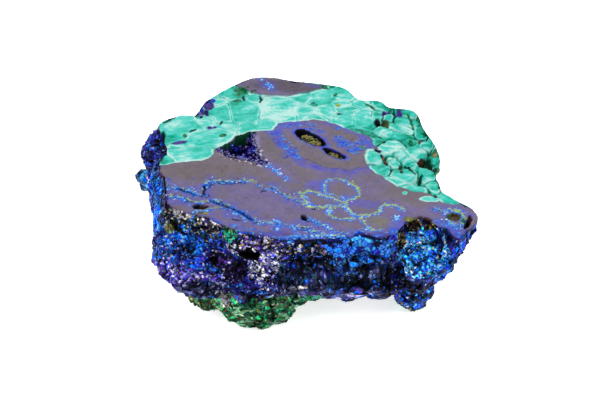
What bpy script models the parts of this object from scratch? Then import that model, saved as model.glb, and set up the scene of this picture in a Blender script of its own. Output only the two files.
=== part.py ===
"""An azurite specimen with a band of malachite, sawn and polished flat across its top.

Two solids: the stone, which grew as one piece, and the crust of crystals that lines its open vug.
Lengths are millimetres while the forms are cut and joined. in_metres scales each finished solid.
The frame: +Z is up and square to the polished face, +X runs along the stone's long side, and the
origin is under the middle of the stone, on the surface that it stands on.
"""

import math

import bmesh
import bpy
from mathutils import Euler, Vector, noise

# Driving sizes.
CUT_Z = 23.0  # height of the polished face above the surface that the stone stands on
SAW_ALLOWANCE = 1.6  # how far the rough stone stands above the polished face before it is cut
MALACHITE_DROP = 1.2  # depth of the grooves' floor between the malachite nodules
FUSE_VOXEL = 0.6  # grain of the rough stone when its forms are grown together
STONE_TRIANGLES = 7600
BLADE_VOXEL = 0.2  # grain at which the crust's blades are joined to it
CRUST_TRIANGLES = 2200
FLAT_TOLERANCE = 0.12
CRUST_GAP = 0.35  # clear space between the vug's wall and the crust
CRUST_FLOOR = 1.3  # thickness of the crust under its hollow
CRUST_RIM = 1.4  # depth of the lining's rim, over which the highest blades stand
CRUST_HOLLOW = 0.76  # the hollow's share of the vug's width

# The rim of the cut face, counter-clockwise from the left corner.
RIM = [
    (-28.0, -3.5), (-26.6, -9.0), (-26.0, -15.0), (-25.6, -18.6), (-20.5, -20.2), (-16.5, -22.4),
    (-12.0, -25.4), (-7.5, -27.2), (-2.0, -28.0), (4.5, -27.0), (10.5, -26.3), (14.0, -27.6),
    (17.5, -26.4), (22.5, -27.6), (28.6, -28.5), (31.2, -24.8), (32.8, -21.0), (31.6, -18.2),
    (28.6, -15.5), (26.0, -12.0), (25.4, -7.5), (24.9, -4.4), (26.5, -2.0), (25.6, 4.0),
    (23.6, 10.0), (22.2, 15.8), (17.6, 17.5), (16.0, 19.6), (11.3, 20.6), (8.8, 24.5),
    (4.5, 26.0), (-2.0, 27.3), (-6.0, 28.5), (-10.6, 28.2), (-14.6, 25.0), (-18.0, 21.4),
    (-20.3, 18.0), (-20.0, 14.0), (-24.4, 14.6), (-28.6, 11.4), (-27.8, 6.0), (-27.2, 1.0),
]
RIM_SAMPLES = 4  # smoothed points between two rim points

# The rough wall below the rim: height, rounds of smoothing of the rim's shape, and how far the
# wall stands in from the rim on the left, right, front and back. A negative inset bulges out.
WALL = [
    (CUT_Z + SAW_ALLOWANCE, 0, (0.4, -0.4, 0.0, 0.1)),
    (CUT_Z, 0, (0.0, 0.0, 0.0, 0.0)),
    (20.5, 2, (-1.9, 0.9, -0.5, -0.3)),
    (16.5, 8, (-2.5, 3.2, -0.4, 0.0)),
    (12.5, 16, (0.2, 6.2, 0.8, 1.8)),
    (9.8, 24, (4.6, 9.0, 2.2, 4.4)),
    (8.2, 30, (8.6, 12.0, 6.0, 8.6)),
]

# Lumps that stand out of the wall and hang below it: name, centre, half-widths.
LUMPS = [
    ("green foot", (-8.8, -22.4, 6.4), (8.1, 7.4, 7.4)),
    ("green foot heel", (-3.7, -19.0, 6.7), (6.1, 6.4, 4.6)),
    ("green knob", (-19.3, -21.6, 6.2), (3.4, 3.5, 4.0)),
    ("green nub", (2.2, -24.8, 8.8), (2.6, 2.4, 2.2)),
    ("blue foot", (20.8, -18.3, 5.3), (4.2, 4.4, 5.7)),
    ("back left foot", (-14.5, 12.5, 5.2), (7.0, 6.4, 5.7)),
    ("back right foot", (10.5, 14.5, 5.2), (7.6, 6.2, 5.7)),
    ("left haunch", (-15.4, 15.0, 8.8), (9.4, 7.6, 4.8)),
    ("right haunch", (11.6, 15.2, 8.8), (10.0, 7.6, 4.8)),
    ("belly between the back feet", (-2.4, 16.0, 7.8), (8.4, 7.0, 4.0)),
    ("indigo shoulder", (-28.3, 7.8, 17.6), (3.8, 5.4, 4.8)),
    ("left belly", (-26.9, -2.8, 14.8), (3.6, 6.3, 5.0)),
    ("pale knob", (-31.0, 0.5, 16.7), (1.6, 1.9, 2.1)),
    ("left cheek", (-24.4, -16.4, 15.2), (4.0, 5.6, 5.4)),
    ("left jowl", (-26.5, -16.8, 11.0), (2.9, 4.2, 4.9)),
    ("left skirt", (-18.5, -20.4, 12.6), (6.4, 5.4, 4.6)),
    ("left skirt, corner", (-22.6, -19.9, 9.8), (3.5, 4.4, 4.7)),
    ("front skirt", (-11.0, -21.0, 11.6), (8.0, 5.4, 3.6)),
    ("brow of the socket", (-9.5, -25.6, 20.2), (5.6, 3.0, 2.0)),
    ("jaw of the socket", (-9.0, -25.0, 12.0), (6.2, 4.2, 2.8)),
    ("ledge, first bead", (5.6, -27.2, 18.2), (2.5, 2.4, 2.2)),
    ("ledge, second bead", (8.6, -27.0, 16.6), (2.3, 2.2, 2.3)),
    ("ledge, third bead", (12.6, -26.6, 19.0), (2.6, 2.2, 2.0)),
    ("ledge, fourth bead", (1.2, -27.4, 19.6), (2.6, 2.0, 2.0)),
    ("ledge, fifth bead", (15.8, -26.0, 18.2), (2.2, 2.0, 2.2)),
    ("sill of the recess, left", (2.6, -24.9, 9.8), (8.4, 2.6, 2.5)),
    ("sill of the recess, middle", (7.6, -25.3, 9.2), (4.4, 2.4, 2.5)),
    ("sill of the recess, right", (11.6, -24.7, 9.8), (7.6, 2.6, 2.5)),
    ("mound in the bowl", (22.2, -25.2, 16.4), (4.4, 4.4, 4.9)),
    ("foot of the mound", (20.8, -23.0, 11.6), (5.2, 3.8, 4.0)),
    ("right brow", (28.1, -24.2, 19.3), (2.2, 3.7, 2.8)),
    ("right keel", (24.5, -18.6, 14.2), (2.9, 6.2, 4.4)),
    ("right boss", (22.4, 5.4, 17.0), (3.6, 4.8, 4.6)),
    ("back boss", (3.0, 24.8, 15.2), (7.0, 4.6, 5.4)),
    ("back left boss", (-14.5, 20.5, 15.6), (5.0, 5.0, 5.2)),
    ("corner boss", (18.6, 13.6, 15.0), (4.4, 4.2, 5.0)),
]

# Hollows cut into the rough wall before it is roughened: name, centre, half-widths.
HOLLOWS = [
    ("recess under the ledge", (6.5, -31.8, 12.8), (12.0, 5.6, 4.4)),
    ("crevice under the ledge", (7.0, -28.6, 16.6), (10.5, 4.4, 1.5)),
    ("crevice beside the bowl", (16.4, -28.6, 14.4), (2.6, 4.4, 5.4)),
    ("slot left of the ledge", (-1.6, -29.4, 16.9), (5.4, 3.4, 1.3)),
    ("socket", (-6.6, -30.2, 15.6), (4.8, 3.6, 4.2)),
    ("recess under the cheek", (-14.8, -27.0, 16.4), (2.8, 3.6, 2.4)),
    ("bowl", (21.8, -27.9, 24.4), (5.0, 6.9, 6.2)),
    ("left flute", (-32.4, -9.5, 14.0), (2.4, 1.8, 8.0)),
    ("back cleft", (-4.6, 30.4, 15.0), (2.4, 3.6, 7.0)),
    ("back ledge", (13.0, 22.6, 12.5), (8.0, 3.0, 2.4)),
    ("right cleft", (28.4, -4.8, 15.0), (4.4, 2.3, 8.0)),
    ("right dint", (29.0, 0.2, 16.5), (4.0, 3.4, 5.5)),
    ("back left notch", (-23.4, 17.4, 17.0), (2.6, 3.0, 8.0)),
]

# Pits cut after the face is polished, so that their edges are sharp: name, centre, half-widths, and
# the turn about Z in degrees.
PITS = [
    ("first eye", (1.7, 6.0, 23.2), (3.5, 1.5, 2.2), -56),
    ("second eye", (6.0, 0.3, 23.2), (2.8, 1.15, 1.9), -42),
    ("brown pit", (-19.3, -17.6, 23.1), (1.7, 0.8, 1.4), -8),
    ("black pit", (0.2, -21.0, 23.1), (1.3, 0.8, 1.5), -60),
    ("corner slot", (30.9, -22.2, 23.1), (2.0, 0.7, 1.6), 68),
    ("malachite pit", (15.6, 12.3, 23.0), (1.7, 0.9, 1.7), -20),
    ("malachite hollow", (23.6, -2.0, 23.4), (1.7, 2.8, 3.6), 12),
    ("malachite gap", (17.4, -2.8, 23.2), (2.8, 0.8, 1.8), -62),
    ("front hole", (-9.8, -27.6, 18.8), (2.1, 3.2, 1.25), 0),
]

# The ground of the malachite band, which the saw left between the nodules.
BAND = [
    (-31.0, -4.6), (-26.0, -3.2), (-22.0, -2.5), (-17.7, 0.2), (-20.0, 3.0), (-16.6, 2.7),
    (-10.6, 7.8), (-6.0, 9.0), (-4.0, 12.0), (2.0, 12.5), (8.0, 10.0), (13.6, 6.2), (12.0, 1.6),
    (12.6, -3.4), (15.5, -8.0), (18.0, -11.2), (22.5, -13.0), (22.3, -15.6), (28.0, -17.4),
    (33.0, -14.0), (30.0, 10.0), (12.0, 31.0), (4.4, 26.4), (1.0, 23.4), (-9.6, 22.0),
    (-13.6, 25.4), (-20.0, 28.0), (-18.0, 17.0), (-22.0, 18.0), (-32.0, 16.0),
]

# Malachite nodules that can be told apart: centre, half-widths, turn about Z in degrees.
NODULES = [
    ((-22.4, 0.4), (4.7, 2.9), 6), ((-26.6, -1.7), (1.4, 1.9), 10), ((-24.0, 10.4), (4.6, 3.5), 14),
    ((-18.3, 5.8), (4.5, 3.2), 12), ((-19.4, 12.2), (2.9, 1.8), 0), ((-14.8, 9.9), (3.0, 2.4), -20),
    ((-12.0, 17.0), (3.2, 4.4), 8), ((-16.8, 16.2), (2.2, 2.6), 0), ((-10.4, 21.2), (2.2, 1.8), 0),
    ((-4.8, 17.4), (4.2, 4.4), 0), ((-10.6, 10.8), (2.7, 2.7), 30), ((-6.2, 11.6), (2.7, 2.3), 0),
    ((-14.4, 22.6), (2.2, 2.6), 30), ((0.6, 20.0), (2.8, 2.4), 0), ((0.2, 15.0), (2.7, 2.4), 20),
    ((4.6, 15.6), (2.8, 2.4), -30), ((8.4, 13.4), (3.2, 2.6), -30), ((12.0, 13.2), (2.7, 3.3), 0),
    ((4.2, 23.4), (3.0, 2.0), -10), ((7.8, 22.6), (2.3, 2.5), 0), ((8.4, 18.6), (3.4, 2.0), 20),
    ((13.2, 18.2), (3.0, 2.4), -30), ((16.8, 15.6), (2.6, 2.0), 0), ((20.2, 14.6), (2.3, 2.4), 0),
    ((19.4, 11.2), (2.7, 2.2), 0), ((16.0, 9.0), (2.8, 1.7), -30), ((20.6, 7.6), (3.3, 2.0), -20),
    ((23.6, 5.8), (1.9, 2.6), 20), ((17.2, 3.8), (3.7, 3.1), -15), ((21.8, 2.2), (2.7, 2.4), 40),
    ((11.6, 8.2), (3.2, 1.8), -20), ((13.6, 0.2), (2.0, 2.5), 10), ((14.8, -4.6), (2.6, 2.6), 40),
    ((18.2, 0.0), (1.3, 3.4), 25), ((20.4, -3.2), (1.5, 3.8), 30), ((24.9, -1.2), (1.2, 3.0), -6),
    ((18.8, -7.8), (3.9, 2.7), -25), ((23.4, -6.4), (1.7, 3.8), 26), ((21.6, -11.2), (4.0, 1.6), -12),
    ((25.0, -10.6), (1.6, 2.8), 4), ((23.8, -15.0), (2.3, 1.3), 0), ((27.0, -14.8), (2.3, 1.5), -40),
]
NODULE_HEIGHT = 2.6  # half-height, so that the cut leaves a flat spot with round shoulders
NODULE_TOP = 0.75  # how far an uncut nodule would stand above the polished face

# The vug between the malachite and the polished azurite: its mouth, then how it narrows with depth.
VUG_MOUTH = [
    (-17.4, 2.1), (-15.4, -0.3), (-12.0, -2.0), (-8.4, -3.7), (-6.8, -2.4), (-8.5, 1.2),
    (-9.3, 5.0), (-9.2, 8.3), (-10.8, 8.9), (-13.4, 7.0), (-14.6, 4.5),
]
VUG_LEVELS = [(-2.0, 1.0), (0.0, 1.0), (1.8, 0.98), (3.2, 0.86), (4.4, 0.64), (5.0, 0.42)]
# The crust's blades: depth below the polished face, how many round the wall, how far they lean up.
BLADE_ROWS = [(1.7, 21, 1.5), (2.3, 17, 0.5), (3.0, 13, 0.7), (3.8, 9, 1.6), (4.2, 6, 2.6)]


def use_collection(name):
    """A new collection, made the one that new objects go into."""
    made = bpy.data.collections.new(name)
    bpy.context.scene.collection.children.link(made)
    layer = bpy.context.view_layer.layer_collection
    bpy.context.view_layer.active_layer_collection = layer.children[name]
    return made


def object_from(bm, name):
    mesh = bpy.data.meshes.new(name)
    bm.to_mesh(mesh)
    bm.free()
    made = bpy.data.objects.new(name, mesh)
    bpy.context.view_layer.active_layer_collection.collection.objects.link(made)
    return made


def evaluated_copy(obj, name):
    """A plain mesh object with obj's modifiers applied. obj is removed."""
    bpy.context.view_layer.update()
    graph = bpy.context.evaluated_depsgraph_get()
    mesh = bpy.data.meshes.new_from_object(obj.evaluated_get(graph))
    mesh.transform(obj.matrix_world)
    mesh.name = name
    bpy.data.objects.remove(obj)
    made = bpy.data.objects.new(name, mesh)
    bpy.context.view_layer.active_layer_collection.collection.objects.link(made)
    return made


def smooth_loop(points, samples):
    """A Catmull-Rom curve through a closed loop of points, sampled evenly between each two."""
    count = len(points)
    loop = []
    for i in range(count):
        a, b, c, d = (Vector(points[(i + k) % count]) for k in (-1, 0, 1, 2))
        for step in range(samples):
            t = step / samples
            loop.append(
                0.5 * (2 * b + (c - a) * t + (2 * a - 5 * b + 4 * c - d) * t**2
                       + (3 * b - a - 3 * c + d) * t**3)
            )
    return loop


def relaxed(loop, rounds):
    """The loop with each point moved towards its neighbours, over and over."""
    for _ in range(rounds):
        loop = [(loop[i - 1] + loop[i] * 2 + loop[(i + 1) % len(loop)]) / 4 for i in range(len(loop))]
    return loop


def inset_loop(loop, insets):
    """Moves each point in, by the inset of the side that it faces."""
    left, right, front, back = insets
    moved = []
    for i, point in enumerate(loop):
        along = loop[(i + 1) % len(loop)] - loop[i - 1]
        out = Vector((along.y, -along.x)).normalized()
        side = right if out.x > 0 else left
        depth = back if out.y > 0 else front
        moved.append(point - out * (side * out.x**2 + depth * out.y**2))
    return moved


def wall_body():
    """The slab between the rim and the underside, lofted through the wall's levels."""
    rim = smooth_loop(RIM, RIM_SAMPLES)
    bm = bmesh.new()
    rings = []
    for height, rounds, insets in WALL:
        loop = inset_loop(relaxed(rim, rounds), insets)
        rings.append([bm.verts.new((p.x, p.y, height)) for p in loop])
    for upper, lower in zip(rings, rings[1:]):
        for i in range(len(upper)):
            j = (i + 1) % len(upper)
            bm.faces.new((upper[i], lower[i], lower[j], upper[j]))
    bm.faces.new(rings[0])
    bm.faces.new(reversed(rings[-1]))
    bmesh.ops.recalc_face_normals(bm, faces=bm.faces)
    return object_from(bm, "wall body")


def ellipsoid(name, centre, half_widths, turn=0.0, detail=3):
    """A ball scaled to its half-widths, turned about Z."""
    bm = bmesh.new()
    bmesh.ops.create_icosphere(bm, subdivisions=detail, radius=1.0)
    for vert in bm.verts:
        vert.co = Vector(vert.co[k] * half_widths[k] for k in range(3))
        vert.co.rotate(Euler((0, 0, math.radians(turn))))
        vert.co += Vector(centre)
    return object_from(bm, name)


def prism(name, loop, low, high):
    """An upright prism on a plan, drawn as a filled 2D curve with an extrusion."""
    curve = bpy.data.curves.new(name, "CURVE")
    curve.dimensions = "2D"
    curve.fill_mode = "BOTH"
    curve.extrude = (high - low) / 2
    spline = curve.splines.new("POLY")
    spline.points.add(len(loop) - 1)
    for at, point in zip(spline.points, loop):
        at.co = (point[0], point[1], 0, 1)
    spline.use_cyclic_u = True
    made = bpy.data.objects.new(name, curve)
    made.location.z = (low + high) / 2
    bpy.context.view_layer.active_layer_collection.collection.objects.link(made)
    solid = evaluated_copy(made, name)
    bm = bmesh.new()
    bm.from_mesh(solid.data)
    bmesh.ops.remove_doubles(bm, verts=bm.verts, dist=0.01)
    bmesh.ops.recalc_face_normals(bm, faces=bm.faces)
    bm.to_mesh(solid.data)
    bm.free()
    return solid


def block(name, low, high):
    """A box from its lowest to its highest corner."""
    bm = bmesh.new()
    bmesh.ops.create_cube(bm, size=1.0)
    for vert in bm.verts:
        vert.co = Vector((low[k] + high[k]) / 2 + vert.co[k] * (high[k] - low[k]) for k in range(3))
    return object_from(bm, name)


def boolean(obj, cutter, operation="DIFFERENCE"):
    """Applies one exact Boolean to obj, and removes the cutter."""
    modifier = obj.modifiers.new(cutter.name, "BOOLEAN")
    modifier.operation = operation
    modifier.object = cutter
    modifier.solver = "EXACT"
    made = evaluated_copy(obj, obj.name)
    bpy.data.objects.remove(cutter)
    return made


def grown_together(name, pieces, voxel):
    """One closed skin round pieces that overlap."""
    bm = bmesh.new()
    for piece in pieces:
        bm.from_mesh(piece.data)
        bpy.data.objects.remove(piece)
    joined = object_from(bm, name)
    remesh = joined.modifiers.new("grow together", "REMESH")
    remesh.mode = "VOXEL"
    remesh.voxel_size = voxel
    return evaluated_copy(joined, name)


def roughness_at(point):
    """How far the broken wall stands out at a point."""
    broad = noise.noise(point / 8.0)
    knobs = 0.5 - noise.voronoi(point / 4.2)[0][0]
    facets = 0.45 - noise.voronoi(point / 1.9 + Vector((7.0, 3.0, 1.0)))[0][0]
    layers = math.sin(point.z * 1.9 + 2.2 * noise.noise(point / 11.0))
    return 0.9 * broad + 1.3 * knobs + 0.8 * facets + 0.16 * layers


def roughen(stone):
    """Breaks up the wall and the underside. The ground near the cut stays as it is."""
    mesh = stone.data
    normals = [v.normal.copy() for v in mesh.vertices]
    for vert, out in zip(mesh.vertices, normals):
        share = min(max((22.0 - vert.co.z) / 2.0, 0.12), 1.0)
        vert.co += out * roughness_at(vert.co) * share


def nodule(number, centre, half_widths, turn):
    low = Vector((centre[0], centre[1], CUT_Z + NODULE_TOP - NODULE_HEIGHT))
    return ellipsoid(f"nodule {number}", low, (*half_widths, NODULE_HEIGHT), turn)


def rough_stone():
    """The stone before it is sawn: wall, lumps and nodules grown together, less the hollows."""
    body = wall_body()
    ground = CUT_Z - MALACHITE_DROP
    band = smooth_loop(BAND, 3)
    body = boolean(body, prism("band ground", band, ground, CUT_Z + 4))
    for name, centre, half_widths in HOLLOWS:
        body = boolean(body, ellipsoid(name, centre, half_widths, detail=2))
    lumps = [ellipsoid(*lump) for lump in LUMPS]
    nodules = [nodule(i, *each) for i, each in enumerate(NODULES)]
    # A nodule at the edge is trimmed to the rim, so that it doesn't overhang the wall.
    rim = inset_loop(smooth_loop(RIM, RIM_SAMPLES), (-0.5, -0.5, -0.5, -0.5))
    rough = grown_together("nodules", nodules, 0.5)
    rough = boolean(rough, prism("rim trim", rim, 10.0, CUT_Z + 6), "INTERSECT")
    return grown_together("stone", [body, rough, *lumps], FUSE_VOXEL)


def largest_piece(obj):
    """Drops the crumbs that a cut has parted from obj."""
    bm = bmesh.new()
    bm.from_mesh(obj.data)
    left = set(bm.faces)
    pieces = []
    while left:
        front = [left.pop()]
        piece = list(front)
        while front:
            face = front.pop()
            near = {f for edge in face.edges for f in edge.link_faces} & left
            left -= near
            front.extend(near)
            piece.extend(near)
        pieces.append(piece)
    pieces.sort(key=len)
    crumbs = [face for piece in pieces[:-1] for face in piece]
    bmesh.ops.delete(bm, geom=crumbs, context="FACES")
    loose = [vert for vert in bm.verts if not vert.link_faces]
    bmesh.ops.delete(bm, geom=loose, context="VERTS")
    bm.to_mesh(obj.data)
    bm.free()
    return obj


def vug_loop(depth, inset, share=1.0):
    """The vug's outline at a depth below the polished face, shrunk by a share and by an inset."""
    mouth = smooth_loop(VUG_MOUTH, 3)
    middle = sum(mouth, Vector((0, 0))) / len(mouth)
    taper = VUG_LEVELS[-1][1]
    for (upper, wide), (lower, narrow) in zip(VUG_LEVELS, VUG_LEVELS[1:]):
        if upper <= depth <= lower:
            taper = wide + (narrow - wide) * (depth - upper) / (lower - upper)
    loop = [middle + (point - middle) * taper * share for point in mouth]
    return inset_loop(loop, (inset, inset, inset, inset))


def vug_form(name, inset=0.0, share=1.0, rise=0.0):
    """The vug's hollow as a solid, open above the cut, shrunk as vug_loop does, with a raised floor."""
    bm = bmesh.new()
    rings = []
    for depth, _ in VUG_LEVELS:
        height = CUT_Z - depth + (rise if depth > 0 else 0)
        rings.append([bm.verts.new((p.x, p.y, height)) for p in vug_loop(depth, inset, share)])
    for upper, lower in zip(rings, rings[1:]):
        for i in range(len(upper)):
            j = (i + 1) % len(upper)
            bm.faces.new((upper[i], lower[i], lower[j], upper[j]))
    bm.faces.new(rings[0])
    bm.faces.new(reversed(rings[-1]))
    bmesh.ops.recalc_face_normals(bm, faces=bm.faces)
    return grown_together(name, [object_from(bm, name)], 0.5)


def thinned(obj, triangles):
    """Collapses the flattest edges until obj has about that many triangles."""
    tidy = bmesh.new()
    tidy.from_mesh(obj.data)
    bmesh.ops.triangulate(tidy, faces=tidy.faces)
    share = min(1.0, triangles / len(tidy.faces))
    tidy.to_mesh(obj.data)
    tidy.free()
    decimate = obj.modifiers.new("thin", "DECIMATE")
    decimate.ratio = share
    decimate.use_collapse_triangulate = True
    return evaluated_copy(obj, obj.name)


def flattened(obj):
    """Puts back on its plane every vertex that thinning has moved a hair off a sawn or worn flat."""
    for vert in obj.data.vertices:
        if vert.co.z > CUT_Z - FLAT_TOLERANCE:
            vert.co.z = CUT_Z
        elif vert.co.z < FLAT_TOLERANCE:
            vert.co.z = 0.0
    return obj


def make_stone():
    stone = rough_stone()
    roughen(stone)
    reach = 60
    stone = thinned(stone, 2.4 * STONE_TRIANGLES)
    slab = block("sawn slab", (-reach, -reach, 0), (reach, reach, CUT_Z))
    stone = boolean(stone, slab, "INTERSECT")
    for name, centre, half_widths, turn in PITS:
        stone = boolean(stone, ellipsoid(name, centre, half_widths, turn))
    stone = boolean(stone, vug_form("vug"))
    return flattened(largest_piece(thinned(stone, STONE_TRIANGLES)))


def blade(bm, root, axis, length, width):
    """Adds a bladed crystal that stands on its root: flattened, six-sided, with a wedge-shaped tip."""
    made = bmesh.ops.create_cone(
        bm, cap_ends=True, segments=6, radius1=width * 0.5, radius2=width * 0.42, depth=length
    )
    turn = axis.to_track_quat("Z", "Y")
    for vert in made["verts"]:
        if vert.co.z > 0:
            vert.co.z -= abs(vert.co.x) * 1.1
        vert.co.y *= 0.62
        vert.co.z += length / 2 - 0.35
        vert.co = turn @ vert.co + root


def all_blades():
    """Rows of blades that stand on the crust's inner wall, leaning in and up."""
    bm = bmesh.new()
    count = 0
    for depth, places, lift in BLADE_ROWS:
        loop = vug_loop(depth, 0.0, CRUST_HOLLOW + 0.02)
        for place in range(places):
            at = loop[int((place + 0.5 * (count % 2)) * len(loop) / places) % len(loop)]
            wobble = Vector([noise.noise(Vector((count * 1.7, depth, k * 4.2))) for k in (1, 2, 3)])
            count += 1
            inward = Vector((-12.0, 2.0, 0)) - at.to_3d()
            axis = (inward.normalized() + Vector((0, 0, lift)) + 0.9 * wobble).normalized()
            root = Vector((at.x, at.y, CUT_Z - depth + 0.3))
            blade(bm, root, axis, 2.3 + 0.9 * wobble.y, 1.15 + 0.5 * wobble.z)
    blades = grown_together("blades", [object_from(bm, "blades")], BLADE_VOXEL)
    # A blade's heel mustn't reach through the lining.
    inside = vug_form("lining's core", CRUST_GAP + 0.15, rise=CRUST_GAP + 0.3)
    return boolean(blades, inside, "INTERSECT")


def make_crust():
    """A thin lining of the vug, with blades that point into it, all in one solid."""
    lining = vug_form("lining", CRUST_GAP, rise=CRUST_GAP)
    lining = boolean(lining, vug_form("hollow", share=CRUST_HOLLOW, rise=CRUST_GAP + CRUST_FLOOR))
    lining = boolean(lining, block("above the lining", (-40, -40, CUT_Z - CRUST_RIM), (40, 40, 40)))
    crust = grown_together("vug_crystals", [lining, all_blades()], BLADE_VOXEL)
    top = block("below the cut", (-40, -40, 0), (40, 40, CUT_Z - CRUST_GAP))
    return thinned(largest_piece(boolean(crust, top, "INTERSECT")), CRUST_TRIANGLES)


def in_metres(obj):
    """Scales a finished solid from millimetres to metres."""
    for vert in obj.data.vertices:
        vert.co *= 0.001
    return obj


def finish_material(obj, name, colour, roughness):
    """One Principled material on the object."""
    material = bpy.data.materials.new(name)
    material.use_nodes = True
    shader = material.node_tree.nodes["Principled BSDF"]
    shader.inputs["Base Color"].default_value = (*colour, 1.0)
    shader.inputs["Roughness"].default_value = roughness
    shader.inputs["Metallic"].default_value = 0.0
    obj.data.materials.clear()
    obj.data.materials.append(material)


def main():
    for obj in list(bpy.data.objects):
        bpy.data.objects.remove(obj)
    use_collection("azurite malachite specimen")
    stone = in_metres(make_stone())
    finish_material(stone, "azurite", (0.06, 0.09, 0.42), 0.35)
    crust = in_metres(make_crust())
    finish_material(crust, "indigo azurite", (0.03, 0.02, 0.24), 0.15)


main()
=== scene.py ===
"""The looks of an azurite specimen with a band of malachite, sawn and polished flat across its top.

Four kinds of piece ride on the stone: its rough wall, its sawn face, the loose crystals on the
wall, and the blades in the vug. They are worked out in millimetres, in the frame of the CAD stone,
and turned into metres as each mesh is made. The face is a height field and the wall is the CAD
stone, grown finer. The wall is coloured by region, each with its own palette, grain and relief, and
the face by its nodules, veins, rings and spots.
"""

import math

import bmesh
import bpy
import numpy as np
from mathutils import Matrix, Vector
from mathutils.bvhtree import BVHTree


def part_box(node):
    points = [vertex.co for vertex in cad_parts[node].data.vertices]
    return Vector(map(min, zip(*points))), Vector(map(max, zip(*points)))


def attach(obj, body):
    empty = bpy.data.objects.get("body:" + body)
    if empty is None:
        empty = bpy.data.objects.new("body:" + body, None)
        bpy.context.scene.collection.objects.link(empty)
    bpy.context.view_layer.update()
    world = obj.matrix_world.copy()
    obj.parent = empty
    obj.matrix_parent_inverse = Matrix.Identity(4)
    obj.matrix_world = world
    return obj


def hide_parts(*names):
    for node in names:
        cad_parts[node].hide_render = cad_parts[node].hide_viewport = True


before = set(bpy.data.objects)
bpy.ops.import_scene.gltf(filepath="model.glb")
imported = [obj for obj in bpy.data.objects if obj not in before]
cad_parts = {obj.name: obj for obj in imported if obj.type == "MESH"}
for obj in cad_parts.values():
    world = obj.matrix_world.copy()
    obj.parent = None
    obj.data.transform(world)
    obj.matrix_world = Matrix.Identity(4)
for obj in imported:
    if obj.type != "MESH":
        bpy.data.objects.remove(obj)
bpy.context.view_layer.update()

MM = 0.001
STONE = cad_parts["stone"]
FACE_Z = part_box("stone")[1].z / MM  # height of the polished face

WALL_GRAIN = 0.235  # size of the wall's mesh faces
FACE_GRAIN = 0.15  # size of the sawn face's mesh faces
RIM_TRIM = 0.15  # depth below the face at which the wall's mesh ends
RIM_FILL = 2.4  # depth to which the CAD's pits are filled before the wall is grown
LARGEST_CRUMB = 200  # most mesh faces in a scrap of the face that is dropped
FACE_LAP = 1.3  # how far the sawn face's mesh runs out over the rim, inside the wall
WALL_CUTS = (-13.0, 6.0)  # where, from front to back, the wall's mesh is parted into pieces
VEIN_SPREAD = 1.2  # how much wider the veins are drawn than the table of them says
VEIN_GRAIN = 0.27  # size of the grains that the veins are made of
VEIN_BRIGHTNESS = 1.25  # how much brighter those grains are than their named colours
VUG_DEPTH = 4.3  # depth of the open vug's floor below the face
CRYSTAL_DENSITY = 1.4  # loose crystals to a square millimetre, where a region asks for 1
BLADE_TRIES = 2600  # spots tried for the vug's blades
MOST_BLADES = 620  # and the most of those that fit that are used


# Colours, as they look on a screen.
COLOURS = {
    "black": (6, 7, 14),
    "navy": (10, 14, 62),
    "ink": (22, 22, 58),
    "indigo": (34, 18, 120),
    "deep blue": (22, 36, 148),
    "royal": (30, 64, 212),
    "azure": (4, 106, 236),
    "sky": (70, 168, 246),
    "pale sky": (164, 216, 250),
    "violet": (92, 60, 176),
    "purple": (70, 34, 120),
    "lavender": (186, 182, 236),
    "white": (244, 244, 250),
    "slate": (52, 58, 96),
    "blue grey": (98, 104, 160),
    "taupe": (122, 110, 124),
    "warm taupe": (118, 107, 112),
    "dark taupe": (92, 82, 98),
    "violet taupe": (121, 108, 158),
    "haze": (92, 90, 204),
    "dark teal": (10, 62, 70),
    "teal": (12, 178, 150),
    "sea green": (44, 212, 188),
    "mint": (90, 230, 216),
    "pale mint": (204, 255, 246),
    "green": (12, 138, 86),
    "bright green": (44, 176, 110),
    "dark green": (8, 66, 44),
    "moss": (66, 92, 44),
    "grey green": (92, 132, 104),
    "olive": (148, 152, 84),
    "yellow green": (168, 200, 76),
    "brown": (74, 48, 26),
    "tan": (172, 150, 104),
    "cream": (214, 202, 176),
    "rust": (168, 84, 30),
}


def linear(colour):
    """A screen colour as linear light."""
    share = np.array(colour, float) / 255
    return np.where(share <= 0.04045, share / 12.92, ((share + 0.055) / 1.055) ** 2.4)


LIGHT_LEVEL = 1.7  # how much brighter than full white the studio light would show a white stone
LINEAR = {name: linear(colour) / LIGHT_LEVEL for name, colour in COLOURS.items()}


def lights(*names):
    """The named colours as rows of linear light."""
    return np.array([LINEAR[name] for name in names])


# The rim of the sawn face, counter-clockwise from the left corner, with the bowl that bites into
# its front right.
RIM = [
    (-28.0, -3.5), (-26.6, -9.0), (-26.0, -15.0), (-25.2, -17.6), (-20.5, -19.9), (-16.5, -22.5),
    (-12.0, -25.3), (-7.5, -26.8), (-4.5, -28.2), (2.5, -28.1), (8.4, -27.4), (10.6, -26.1),
    (14.0, -27.7), (16.6, -26.4), (18.0, -24.8), (19.4, -22.6), (21.0, -20.9), (22.9, -21.8),
    (24.8, -23.8), (26.8, -25.4), (28.5, -27.9), (30.6, -25.6), (32.2, -23.0), (32.7, -20.7),
    (31.6, -18.0), (28.8, -15.4), (26.0, -12.0), (25.4, -7.5), (24.9, -4.4), (26.5, -2.0),
    (25.6, 4.0), (23.8, 9.4), (22.2, 15.8), (17.3, 17.2), (15.5, 19.5), (11.2, 20.2), (8.6, 24.3),
    (4.5, 26.0), (-2.0, 27.3), (-6.0, 28.5), (-10.6, 28.3), (-14.6, 25.2), (-18.0, 21.6),
    (-20.2, 18.6), (-20.3, 14.0), (-24.4, 14.3), (-28.6, 11.2), (-27.8, 6.0), (-26.6, 1.2),
]

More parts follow.
